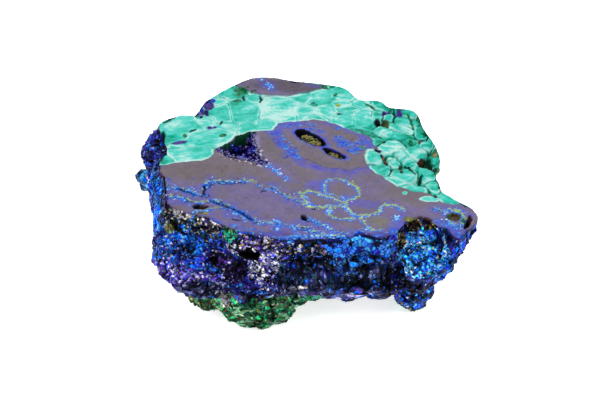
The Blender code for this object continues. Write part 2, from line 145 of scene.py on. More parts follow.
# The malachite's edge on the face, from the left corner to the right edge, and round outside.
BAND = [
    (-30.0, -3.8), (-26.4, -3.4), (-24.6, -2.5), (-22.0, -2.3), (-19.6, -2.0), (-18.2, -1.0),
    (-17.5, 0.2), (-17.4, 2.2), (-14.4, 4.6), (-13.5, 6.7), (-10.4, 8.4), (-6.0, 8.9), (-5.0, 11.4),
    (-2.5, 12.0), (2.0, 12.7), (4.6, 12.2), (6.2, 11.2), (8.2, 9.8), (10.6, 8.0), (13.4, 6.2),
    (13.7, 4.0), (14.6, 2.5), (12.2, 2.3), (11.9, 0.0), (12.2, -2.6), (12.7, -4.4), (13.8, -6.3),
    (15.4, -7.2), (15.7, -8.4), (17.4, -10.4), (19.4, -11.5), (20.8, -12.4), (23.8, -13.1),
    (25.0, -14.6), (26.4, -16.2), (28.6, -16.9), (36.0, -14.0), (34.0, 12.0), (14.0, 32.0),
    (5.2, 27.0), (4.6, 24.9), (2.4, 23.8), (0.4, 22.9), (-3.0, 21.6), (-9.2, 22.3), (-12.0, 24.0),
    (-14.6, 26.4), (-20.0, 30.0), (-35.0, 18.0),
]

# Malachite nodules on the face: centre, half-widths, turn in degrees, and tint, from -1 for dark
# green to 1 for the palest mint.
NODULES = [
    ((-22.2, 0.3), (4.8, 2.8), 6, -0.1), ((-26.6, -1.3), (1.4, 2.2), 10, -0.55),
    ((-24.4, 10.8), (4.4, 3.5), 14, 0.0), ((-19.7, 12.3), (2.0, 1.6), 0, 0.1),
    ((-18.2, 6.2), (4.6, 3.2), 12, 0.1), ((-15.0, 10.3), (2.5, 1.9), -15, 0.0),
    ((-11.2, 9.9), (2.3, 2.1), 30, 0.2), ((-7.4, 10.9), (2.2, 1.9), 0, 0.3),
    ((-12.0, 16.4), (3.1, 4.0), 6, -0.2), ((-16.4, 15.6), (2.1, 3.1), 0, 0.0),
    ((-17.2, 19.6), (1.5, 1.6), 0, 0.1), ((-14.0, 22.4), (1.9, 2.3), 30, -0.6),
    ((-10.3, 20.7), (1.6, 1.5), 0, 0.2), ((-5.0, 17.3), (4.2, 4.4), 0, 0.7),
    ((0.2, 16.4), (2.5, 2.5), 20, 0.4), ((2.4, 19.0), (1.9, 1.9), 0, -0.2),
    ((-0.6, 20.8), (2.4, 1.9), 0, 0.3), ((4.0, 22.6), (2.4, 1.6), -20, 0.2),
    ((4.2, 20.6), (2.0, 0.9), 5, -0.2), ((7.6, 23.0), (2.2, 2.1), 0, 0.2),
    ((8.4, 21.0), (2.2, 1.0), -15, -0.1), ((4.2, 16.2), (2.4, 2.6), -30, 0.5),
    ((2.6, 13.6), (1.8, 1.5), 0, -0.2), ((7.4, 18.8), (2.0, 1.4), 10, 0.4),
    ((9.0, 17.1), (1.9, 0.9), 8, -0.3), ((8.0, 13.4), (2.6, 2.3), -25, 0.3),
    ((11.7, 13.6), (1.9, 3.4), -8, 0.2), ((12.2, 18.2), (2.6, 1.2), -40, 0.1),
    ((15.2, 18.0), (1.8, 1.5), 0, 0.1), ((14.6, 14.8), (1.2, 2.0), 0, -0.2),
    ((17.0, 13.8), (1.6, 1.3), 0, 0.3), ((19.8, 13.0), (2.6, 1.7), -24, 0.2),
    ((21.4, 15.8), (1.5, 0.9), -10, 0.4), ((19.2, 10.4), (3.0, 1.2), -28, 0.5),
    ((16.4, 9.0), (1.4, 2.0), 40, 0.2), ((22.6, 8.8), (1.2, 2.0), 20, -0.4),
    ((19.4, 7.4), (2.4, 1.1), -30, 0.1), ((12.6, 8.2), (3.4, 1.4), -26, -0.15),
    ((14.6, 5.6), (1.5, 1.8), 20, -0.3), ((17.2, 3.7), (3.0, 2.5), -10, 0.8),
    ((21.0, 5.4), (1.7, 1.2), -10, -0.1), ((24.0, 4.4), (1.3, 1.8), 15, 0.4),
    ((21.8, 1.6), (2.0, 1.9), 40, 0.6), ((18.8, 0.9), (1.3, 2.0), 30, 0.5),
    ((13.5, 0.2), (1.5, 2.1), 8, 0.4), ((15.0, -4.6), (2.1, 2.3), 40, -0.1),
    ((17.4, -1.4), (0.8, 2.2), 10, 0.6), ((19.2, -6.2), (2.7, 2.5), 0, 0.7),
    ((17.6, -8.9), (2.3, 1.4), -35, 0.5), ((20.8, -2.2), (1.1, 3.0), 30, 0.2),
    ((23.4, -6.2), (1.4, 3.4), 25, 0.5), ((21.2, -11.1), (3.3, 1.3), -10, 0.1),
    ((24.7, -10.6), (1.3, 2.1), 0, -0.1), ((25.6, -0.6), (0.8, 3.0), -6, -0.4),
    ((26.8, -14.6), (2.4, 1.2), -40, 0.4),
]
# Two that stand apart from the band.
STRAY_NODULES = [((24.0, -15.1), (2.0, 1.0), -4, 0.3), ((19.3, -13.0), (0.45, 0.6), 0, 0.1)]

# Veins on the azurite: points, half-width, and how much sky blue, yellow-green and navy they show.
VEINS = [
    ([(-26.4, -11.0), (-22.2, -12.0), (-20.2, -13.6), (-18.9, -13.2), (-18.7, -10.4), (-17.6, -9.4),
      (-10.2, -9.2), (-7.7, -11.7), (-5.9, -11.4), (-4.2, -13.2), (-1.0, -15.6), (0.6, -17.0)],
     0.50, 1.0, 0.35, 1.0),
    ([(-26.0, -13.9), (-24.0, -14.3), (-20.6, -16.2), (-16.8, -15.9), (-14.0, -17.8),
      (-9.6, -21.7), (-7.9, -22.8), (-3.6, -23.6), (1.2, -24.9), (5.0, -27.0)], 0.46, 1.0, 0.5, 0.8),
    ([(-20.0, -18.9), (-17.4, -18.3), (-14.0, -18.1)], 0.42, 1.0, 0.4, 0.4),
    ([(-10.8, -20.6), (-12.6, -19.6)], 0.55, 1.0, 0.1, 0.1),
    ([(0.4, -21.4), (3.4, -23.4), (5.2, -25.0), (8.4, -26.4)], 0.42, 1.0, 0.2, 0.5),
    ([(5.0, -8.3), (7.8, -8.7), (9.2, -10.4), (10.6, -12.8), (10.2, -14.4), (7.6, -15.7)],
     0.36, 0.7, 1.0, 0.0),
    ([(5.0, -8.3), (4.0, -9.8), (4.0, -12.4), (5.2, -13.4), (7.6, -14.8)], 0.34, 0.9, 0.5, 0.0),
    ([(-0.6, -13.0), (1.6, -12.7), (4.6, -14.4), (7.2, -15.9), (7.6, -17.0), (5.0, -17.5),
      (1.4, -17.3), (0.4, -15.6), (0.0, -13.8)], 0.36, 0.35, 1.0, 0.0),
    ([(4.8, -18.0), (4.8, -20.0), (5.9, -21.5), (9.0, -21.4)], 0.32, 0.6, 0.8, 0.0),
    ([(7.4, -17.0), (9.4, -20.3), (11.4, -20.5), (14.5, -19.2), (14.6, -17.6), (16.5, -17.0),
      (18.6, -18.3)], 0.36, 0.6, 1.0, 0.0),
    ([(10.2, -21.0), (11.6, -23.2), (12.4, -25.0), (15.0, -25.0)], 0.30, 0.7, 0.7, 0.0),
    ([(-7.0, -3.4), (-5.4, -5.4), (-3.0, -8.4)], 0.34, 0.45, 0.0, 0.0),
    ([(-5.2, -21.9), (-4.7, -22.8), (-5.1, -25.0)], 0.34, 0.9, 0.0, 0.2),
    ([(-2.2, -23.4), (-1.0, -26.2)], 0.22, 0.8, 0.0, 0.0),
    ([(-4.0, -27.6), (2.0, -26.9), (7.6, -27.0)], 0.40, 1.0, 0.2, 0.4),
    ([(24.9, -18.1), (26.8, -20.2), (27.0, -22.4), (28.6, -24.4)], 0.42, 1.0, 0.4, 0.2),
    ([(27.6, -18.6), (29.4, -19.6), (30.0, -21.6), (29.2, -23.8)], 0.38, 0.7, 0.6, 0.2),
    ([(17.0, -22.4), (17.8, -20.9)], 0.40, 0.9, 0.1, 0.0),
    ([(-8.6, 28.2), (-7.0, 25.6), (-6.0, 23.0)], 0.35, 0.35, 0.0, 0.0),
]
# The grains of a vein: its blues, then yellow-green, navy and white.
VEIN_COLOURS = lights("azure", "sky", "pale sky", "yellow green", "navy", "white")
# Cracks along which the rock has parted: points, half-width, depth.
CRACKS = [
    ([(-17.4, -15.7), (-14.0, -17.8), (-11.6, -19.6), (-9.5, -21.8)], 0.20, 0.6),
    ([(-19.0, -13.6), (-18.8, -10.6)], 0.22, 0.4),
    ([(-24.0, -11.5), (-20.4, -13.6)], 0.16, 0.3),
]
# Rings of growth round the two eyes: points, half-width, colour, strength.
RINGS = [
    ([(-6.4, 9.2), (-4.6, 4.4), (-2.6, 1.0), (-0.5, -2.4), (2.0, -4.4), (5.0, -5.5), (9.4, -5.8),
      (13.0, -5.0)], 0.9, "haze", 1.0),
    ([(-3.4, 4.0), (-2.0, 1.0), (0.2, -1.6), (4.5, -4.4), (8.2, -5.1), (10.6, -4.4)],
     0.32, "navy", 0.35),
    ([(-3.0, 6.0), (-1.4, 2.6), (0.6, 0.4), (4.0, -2.6), (7.6, -3.4), (10.0, -2.0)],
     0.8, "warm taupe", 0.8),
    ([(4.8, 11.6), (7.4, 10.0), (9.6, 8.0), (12.8, 5.0), (13.4, 3.0)], 0.7, "haze", 1.0),
    ([(-5.6, 8.0), (-4.2, 10.6), (-1.6, 11.2)], 1.3, "haze", 0.9),
]
# Lines along which the azurite is flecked with brighter blue: points, reach, share of the grains.
FLECKS = [
    ([(-6.2, 9.0), (-4.8, 5.4), (-3.4, 2.4), (-1.6, -0.6)], 1.2, 0.55),
    ([(-5.2, 8.4), (-3.4, 10.4), (-0.6, 10.8), (2.2, 10.4)], 0.9, 0.40),
    ([(0.6, 8.9), (2.6, 8.6), (3.8, 7.8)], 0.7, 0.60), ([(4.0, 5.6), (4.8, 2.0)], 0.6, 0.60),
    ([(6.8, 5.2), (8.8, 3.2), (10.4, 3.8), (12.6, 5.0)], 1.0, 0.60),
    ([(8.4, 2.4), (9.8, 1.3), (12.0, 2.6)], 0.7, 0.55), ([(7.6, -0.6), (8.4, -1.4)], 0.5, 0.6),
    ([(5.2, 11.0), (8.6, 8.8)], 0.8, 0.25), ([(-3.6, -27.6), (2.5, -27.6)], 0.7, 0.5),
    ([(2.5, -27.6), (8.4, -26.9), (10.6, -25.7), (14.0, -27.2), (17.4, -25.0)], 0.9, 0.75),
    ([(25.2, -22.8), (27.2, -24.4), (28.6, -26.6)], 0.8, 0.6),
    ([(29.8, -19.2), (31.4, -20.0)], 0.6, 0.3), ([(-26.0, -8.0), (-26.0, -15.0)], 0.7, 0.35),
    ([(-17.0, -21.6), (-12.0, -24.6), (-7.5, -26.2), (-3.6, -27.4)], 1.0, 0.35),
]
# Patches of tone on the azurite: centre, half-widths, turn, colour, strength.
TONES = [
    ((-18.0, -6.0), (8.5, 3.4), 0, "warm taupe", 0.8),
    ((-7.0, -15.5), (9.0, 5.0), -20, "violet taupe", 0.8),
    ((3.0, -1.5), (6.0, 3.0), -40, "taupe", 0.8), ((8.4, 6.6), (3.4, 2.0), -30, "warm taupe", 0.8),
    ((-5.5, 3.0), (2.4, 6.0), 16, "warm taupe", 0.8), ((11.5, -16.6), (4.0, 1.7), -8, "haze", 0.6),
    ((10.0, -6.0), (5.0, 2.2), 10, "haze", 0.2), ((22.0, -19.0), (8.0, 3.0), -8, "violet taupe", 0.7),
    ((0.0, -24.4), (10.0, 2.4), -6, "violet taupe", 0.9),
    ((-15.0, -21.4), (6.0, 2.6), -30, "violet taupe", 0.7),
    ((-23.4, -15.8), (3.0, 2.0), 0, "haze", 0.45), ((17.6, -23.6), (2.0, 2.6), -20, "haze", 0.8),
    ((13.8, -27.0), (3.0, 1.2), 0, "purple", 0.7), ((-6.0, -26.6), (4.0, 1.2), 0, "purple", 0.6),
    ((2.5, -10.5), (2.4, 1.6), 0, "haze", 0.6), ((0.6, -16.4), (1.6, 1.2), -40, "haze", 0.7),
    ((-18.6, -11.6), (1.6, 2.2), 0, "haze", 0.5), ((14.0, -22.6), (3.6, 2.0), -20, "olive", 0.22),
    ((10.2, -20.8), (2.4, 1.0), 10, "olive", 0.45), ((20.0, -15.2), (6.0, 2.4), -18, "taupe", 0.8),
    ((-3.0, 25.2), (9.0, 2.6), -6, "dark taupe", 1.0), ((2.2, 25.6), (2.6, 1.2), -16, "haze", 0.35),
    ((28.0, -18.2), (4.0, 1.6), -30, "violet taupe", 0.8), ((28.4, -24.8), (1.6, 3.0), 25, "haze", 0.6),
]
# Spots on the face: centre, half-widths, turn, colour, depth.
# The black spots are pits painted black as shade, and the dark green of the deep hollow at (23.6, -2.2)
# is painted shade too.
SPOTS = [
    ((-18.2, 10.0), (1.0, 0.6), 0, "violet", 0.3), ((-24.4, 5.2), (1.7, 0.6), 6, "violet", 0.3),
    ((-21.8, 9.0), (1.1, 0.3), 45, "dark green", 0.5), ((-23.5, 7.3), (0.6, 0.5), 0, "green", 0.2),
    ((-16.4, 11.7), (0.9, 0.3), 60, "dark green", 0.5), ((-16.0, 7.0), (0.9, 0.7), 0, "green", 0.2),
    ((-12.0, 20.8), (0.3, 0.9), 0, "purple", 0.7), ((-8.7, 20.4), (0.3, 1.6), 0, "dark green", 0.5),
    ((-11.5, 24.8), (0.5, 0.4), 0, "moss", 0.1), ((-10.2, 23.5), (0.5, 0.4), 0, "moss", 0.1),
    ((-13.5, 19.8), (0.9, 0.7), 0, "green", 0.2), ((-12.8, 23.6), (1.5, 1.2), -30, "green", 0.2),
    ((-19.2, 18.2), (1.3, 1.7), 0, "violet", 0.4), ((-18.4, 20.0), (0.7, 0.6), 0, "royal", 0.3),
    ((-19.4, 15.6), (0.7, 1.2), 0, "indigo", 0.6), ((7.2, 15.0), (0.6, 0.5), 0, "black", 1.0),
    ((2.1, 18.7), (0.7, 0.9), 0, "teal", 0.1), ((6.4, 22.2), (0.5, 0.5), 0, "green", 0.2),
    ((7.1, 18.3), (0.6, 0.6), 0, "yellow green", 0.1), ((4.5, 24.8), (1.0, 0.6), -10, "green", 0.3),
    ((13.2, 18.0), (1.4, 0.45), -45, "green", 0.4), ((14.8, 12.4), (0.75, 1.2), 8, "black", 1.4),
    ((16.4, 12.0), (0.9, 1.2), 20, "moss", 0.6), ((12.4, 8.0), (3.5, 0.9), -27, "teal", 0.15),
    ((16.4, 16.0), (1.2, 0.7), 35, "violet", 0.2),
    ((19.2, 15.6), (0.7, 1.0), 20, "violet", 0.2), ((21.3, 13.0), (0.35, 2.6), 8, "green", 0.4),
    ((22.6, 6.2), (0.6, 0.5), 0, "cream", 0.2), ((23.6, 6.0), (0.5, 0.35), 20, "black", 0.8),
    ((22.5, 3.6), (0.5, 0.4), 0, "teal", 0.3), ((21.2, 4.6), (0.4, 0.9), 0, "green", 0.5),
    ((23.6, -2.2), (1.1, 2.4), -16, "dark green", 2.2), ((22.8, -1.0), (0.8, 0.5), 30, "brown", 1.2),
    ((15.6, -0.6), (0.5, 1.5), 28, "navy", 0.9), ((15.6, -0.4), (0.3, 0.8), 28, "rust", 0.5),
    ((17.0, -4.3), (0.35, 0.6), -20, "navy", 0.6), ((18.8, -5.3), (0.4, 0.4), 0, "dark teal", 0.5),
    ((18.7, -3.6), (0.5, 1.5), -8, "moss", 0.7), ((20.6, -4.2), (0.4, 2.2), 30, "dark green", 0.7),
    ((22.3, -8.0), (0.45, 1.9), -12, "dark green", 0.8), ((24.9, -13.8), (0.35, 0.7), 30, "navy", 0.5),
    ((13.4, -2.6), (0.9, 0.4), -15, "purple", 0.3), ((14.6, 1.9), (0.9, 0.4), -20, "purple", 0.3),
    ((11.5, 2.4), (0.5, 0.4), 0, "teal", 0.0), ((25.6, 0.2), (0.3, 1.4), 0, "tan", 0.3),
    ((24.9, -4.0), (0.6, 1.4), 10, "dark green", 1.0), ((26.2, -10.0), (0.5, 2.0), 0, "green", 0.5),
    ((-28.0, 5.6), (0.7, 3.6), -8, "dark green", 1.0), ((-26.8, 12.4), (1.6, 0.3), 42, "brown", 0.2),
    ((-27.6, -1.6), (0.5, 1.2), 10, "teal", 0.2),
    ((-3.4, -0.8), (0.6, 0.5), 0, "haze", 0.0), ((-19.5, -17.6), (1.5, 0.85), -6, "black", 1.2),
    ((-19.0, -17.3), (0.9, 0.35), -4, "brown", 0.5), ((-20.2, -17.9), (0.5, 0.25), 0, "olive", 0.5),
    ((0.2, -21.0), (0.55, 1.1), 22, "black", 1.3), ((1.9, -18.3), (0.4, 0.4), 0, "navy", 0.6),
    ((-12.6, -21.8), (1.2, 0.35), -14, "moss", 0.2), ((-19.0, -19.7), (1.2, 0.4), 0, "olive", 0.1),
    ((-7.4, -12.2), (0.5, 0.3), 0, "navy", 0.3), ((28.2, -20.9), (1.4, 1.4), 0, "moss", 0.5),
    ((28.4, -20.6), (0.8, 0.9), 0, "brown", 0.4), ((30.7, -22.8), (0.6, 2.2), -18, "black", 1.5),
    ((31.1, -21.4), (0.3, 1.1), -10, "brown", 0.9), ((29.9, -22.2), (0.3, 0.9), -10, "green", 0.3),
    ((19.8, -21.7), (1.0, 0.9), 40, "olive", 0.4), ((22.6, -21.6), (1.6, 0.6), -30, "brown", 0.8),
]
# The two eyes: centre, half-widths, turn, depth.
EYES = [((1.3, 6.0), (3.8, 1.55), -47, 1.7), ((6.0, 0.4), (2.6, 1.0), -42, 1.4)]
# The lip of the open vug.
VUG = [
    (-17.3, 2.3), (-16.0, 0.4), (-14.0, -1.0), (-12.0, -1.7), (-10.0, -2.5), (-8.0, -3.5),
    (-6.8, -3.0), (-7.6, -1.5), (-8.4, 0.0), (-8.9, 3.0), (-9.6, 6.0), (-9.4, 8.4), (-10.6, 8.3),
    (-13.4, 6.6), (-14.2, 4.7),
]


# Repeatable random fields.


def hashed(cells, seed):
    """A number from 0 to 1 for each row of whole numbers, always the same."""
    mixed = (cells[:, 0] * 73856093) ^ (cells[:, 1] * 19349663) ^ (cells[:, 2] * 83492791)
    mixed = (mixed ^ (seed * 2654435761)) & 0xFFFFFFFF
    for _ in range(2):
        mixed = (((mixed >> 16) ^ mixed) * 0x45D9F3B) & 0xFFFFFFFF
    return (((mixed >> 16) ^ mixed) & 0xFFFFFF) / 0xFFFFFF


def in_space(points):
    """Points of a plane or of space, as points of space."""
    if points.shape[1] == 3:
        return points
    return np.column_stack([points, np.zeros(len(points))])


def noise(points, size, seed, octaves=1):
    """A smooth random field from about -1 to 1, with lumps about as large as size."""
    points = in_space(points)
    total = np.zeros(len(points))
    for octave in range(octaves):
        scaled = points / size * 2**octave
        base = np.floor(scaled).astype(np.int64)
        part = scaled - base
        part = part * part * (3 - 2 * part)
        layer = np.zeros(len(points))
        for corner in np.ndindex(2, 2, 2):
            step = np.array(corner)
            share = np.prod(np.where(step, part, 1 - part), axis=1)
            layer += share * hashed(base + step, seed + 17 * octave)
        total += (2 * layer - 1) / 2**octave
    return total


def grains(points, size, seed):
    """Distance to the nearest grain's centre and to the next, in grains, and the grain's own number."""
    scaled = in_space(points) / size
    base = np.floor(scaled).astype(np.int64)
    near = np.full(len(scaled), 9.0)
    following = near.copy()
    own = np.zeros(len(scaled))
    for step in np.ndindex(3, 3, 3):
        cell = base + np.array(step) - 1
        centre = cell + np.column_stack([hashed(cell, seed + axis) for axis in range(3)])
        distance = np.linalg.norm(scaled - centre, axis=1)
        closer = distance < near
        following = np.where(closer, near, np.minimum(following, distance))
        own = np.where(closer, hashed(cell, seed + 3), own)
        near = np.where(closer, distance, near)
    return near, following, own


def step_up(values, low, high):
    """0 below low, 1 above high and smooth between."""
    share = np.clip((values - low) / (high - low), 0, 1)
    return share * share * (3 - 2 * share)


def fall(values, low, high):
    """1 below low, 0 above high and smooth between."""
    return step_up(-values, -high, -low)


# Outlines and lines in the plane.


def smoothed(points, samples=4, closed=True):
    """A Catmull-Rom curve through the points."""
    if closed:
        ring = [points[-1], *points, points[0], points[1]]
    else:
        ring = [points[0], *points, points[-1]]
    ring = np.array(ring, float)
    curve = []
    for before, start, end, after in zip(ring, ring[1:], ring[2:], ring[3:]):
        for t in np.arange(samples) / samples:
            curve.append(
                0.5 * (2 * start + (end - before) * t
                       + (2 * before - 5 * start + 4 * end - after) * t**2
                       + (3 * start - 3 * end + after - before) * t**3)
            )
    if not closed:
        curve.append(ring[-1])
    return np.array(curve)


def to_line(points, line, closed=False):
    """Distance of each point to a line, which side it lies on, and the nearest spot on the line."""
    ends = np.roll(line, -1, axis=0) if closed else line[1:]
    best = np.full(len(points), 1e9)
    side = np.zeros(len(points))
    spot = np.zeros((len(points), 2))
    for start, end in zip(line, ends):
        along = end - start
        t = np.clip((points - start) @ along / (along @ along), 0, 1)
        nearest = start + t[:, None] * along
        away = points - nearest
        distance = np.hypot(away[:, 0], away[:, 1])
        closer = distance < best
        best = np.where(closer, distance, best)
        turn = along[0] * away[:, 1] - along[1] * away[:, 0]
        side = np.where(closer, np.sign(turn), side)
        spot = np.where(closer[:, None], nearest, spot)
    return best, side, spot


def to_curve(points, line):
    """The same for the smooth open curve through the line's points."""
    return to_line(points, smoothed(line, closed=False))


def within(points, loop):
    """True for each point inside a closed outline."""
    inside = np.zeros(len(points), bool)
    for (x0, y0), (x1, y1) in zip(loop, np.roll(loop, -1, axis=0)):
        crosses = (y0 > points[:, 1]) != (y1 > points[:, 1])
        level = x0 + (points[:, 1] - y0) * (x1 - x0) / (y1 - y0 if y1 != y0 else 1e-9)
        inside ^= crosses & (points[:, 0] < level)
    return inside


def inset(points, loop):
    """How far each point lies inside a closed outline, and below zero outside it."""
    distance = to_line(points, loop, closed=True)[0]
    return np.where(within(points, loop), distance, -distance)


def oval(points, centre, half, turn):
    """1 on an ellipse's edge, 0 at its centre."""
    angle = math.radians(turn)
    away = points - np.array(centre)
    u = away[:, 0] * math.cos(angle) + away[:, 1] * math.sin(angle)
    v = away[:, 1] * math.cos(angle) - away[:, 0] * math.sin(angle)
    return np.hypot(u / half[0], v / half[1])


def stirred(points, size, amount, seed):
    """The points, each moved a little, so that drawn edges come out ragged."""
    moved = points.astype(float).copy()
    for axis in range(points.shape[1]):
        moved[:, axis] += amount * noise(points, size, seed + axis)
    return moved


def lay(base, colour, amount):
    """Lays a colour over base by amount, both for each point."""
    colour = LINEAR[colour] if isinstance(colour, str) else colour
    return base + (colour - base) * np.clip(amount, 0, 1)[:, None]


def either(chosen, first, second):
    """For each point the first named colour where it is chosen, and the second elsewhere."""
    return np.where(chosen[:, None], LINEAR[first], LINEAR[second])


RIM_LOOP = smoothed(RIM)
BAND_LOOP = np.array(BAND)
VUG_LOOP = smoothed(VUG, 3)


# Regions of the wall. Each has ellipsoids that it fills, and the later ones lie over the earlier.


class Region:
    """A stretch of wall: its forms, palette, grain and relief, and how many crystals stand on it.

    The palette gives each colour's share. The lump is the size and the height of its lumps, size is
    that of its crystals, light brightens its palette, and painted_glints is the share of grains painted
    as glints: bright specks that stand in for light caught by crystal faces. The light is highest on
    the lower walls, the skirt and the feet, where it is painted light standing in for light from below.
    """

    def __init__(self, forms, palette, grain, stretch=(1, 1, 1), lump=(1.2, 0.25), crystals=0.0,
                 size=0.5, smooth=False, shine=0.3, light=1.0, painted_glints=0.02):
        names = sorted(palette, key=lambda name: sum(COLOURS[name]))
        self.forms = forms
        self.shares = np.cumsum([palette[name] for name in names]) / sum(palette.values())
        self.grain = grain
        self.stretch = np.array(stretch, float)
        self.lump = lump
        self.crystals = crystals
        self.size = size
        self.smooth = smooth
        self.shine = shine
        self.painted_glints = painted_glints
        # light scales the palette; on the skirt and the feet it is painted light standing in for light
        # from below.
        self.colours = light * lights(*names)


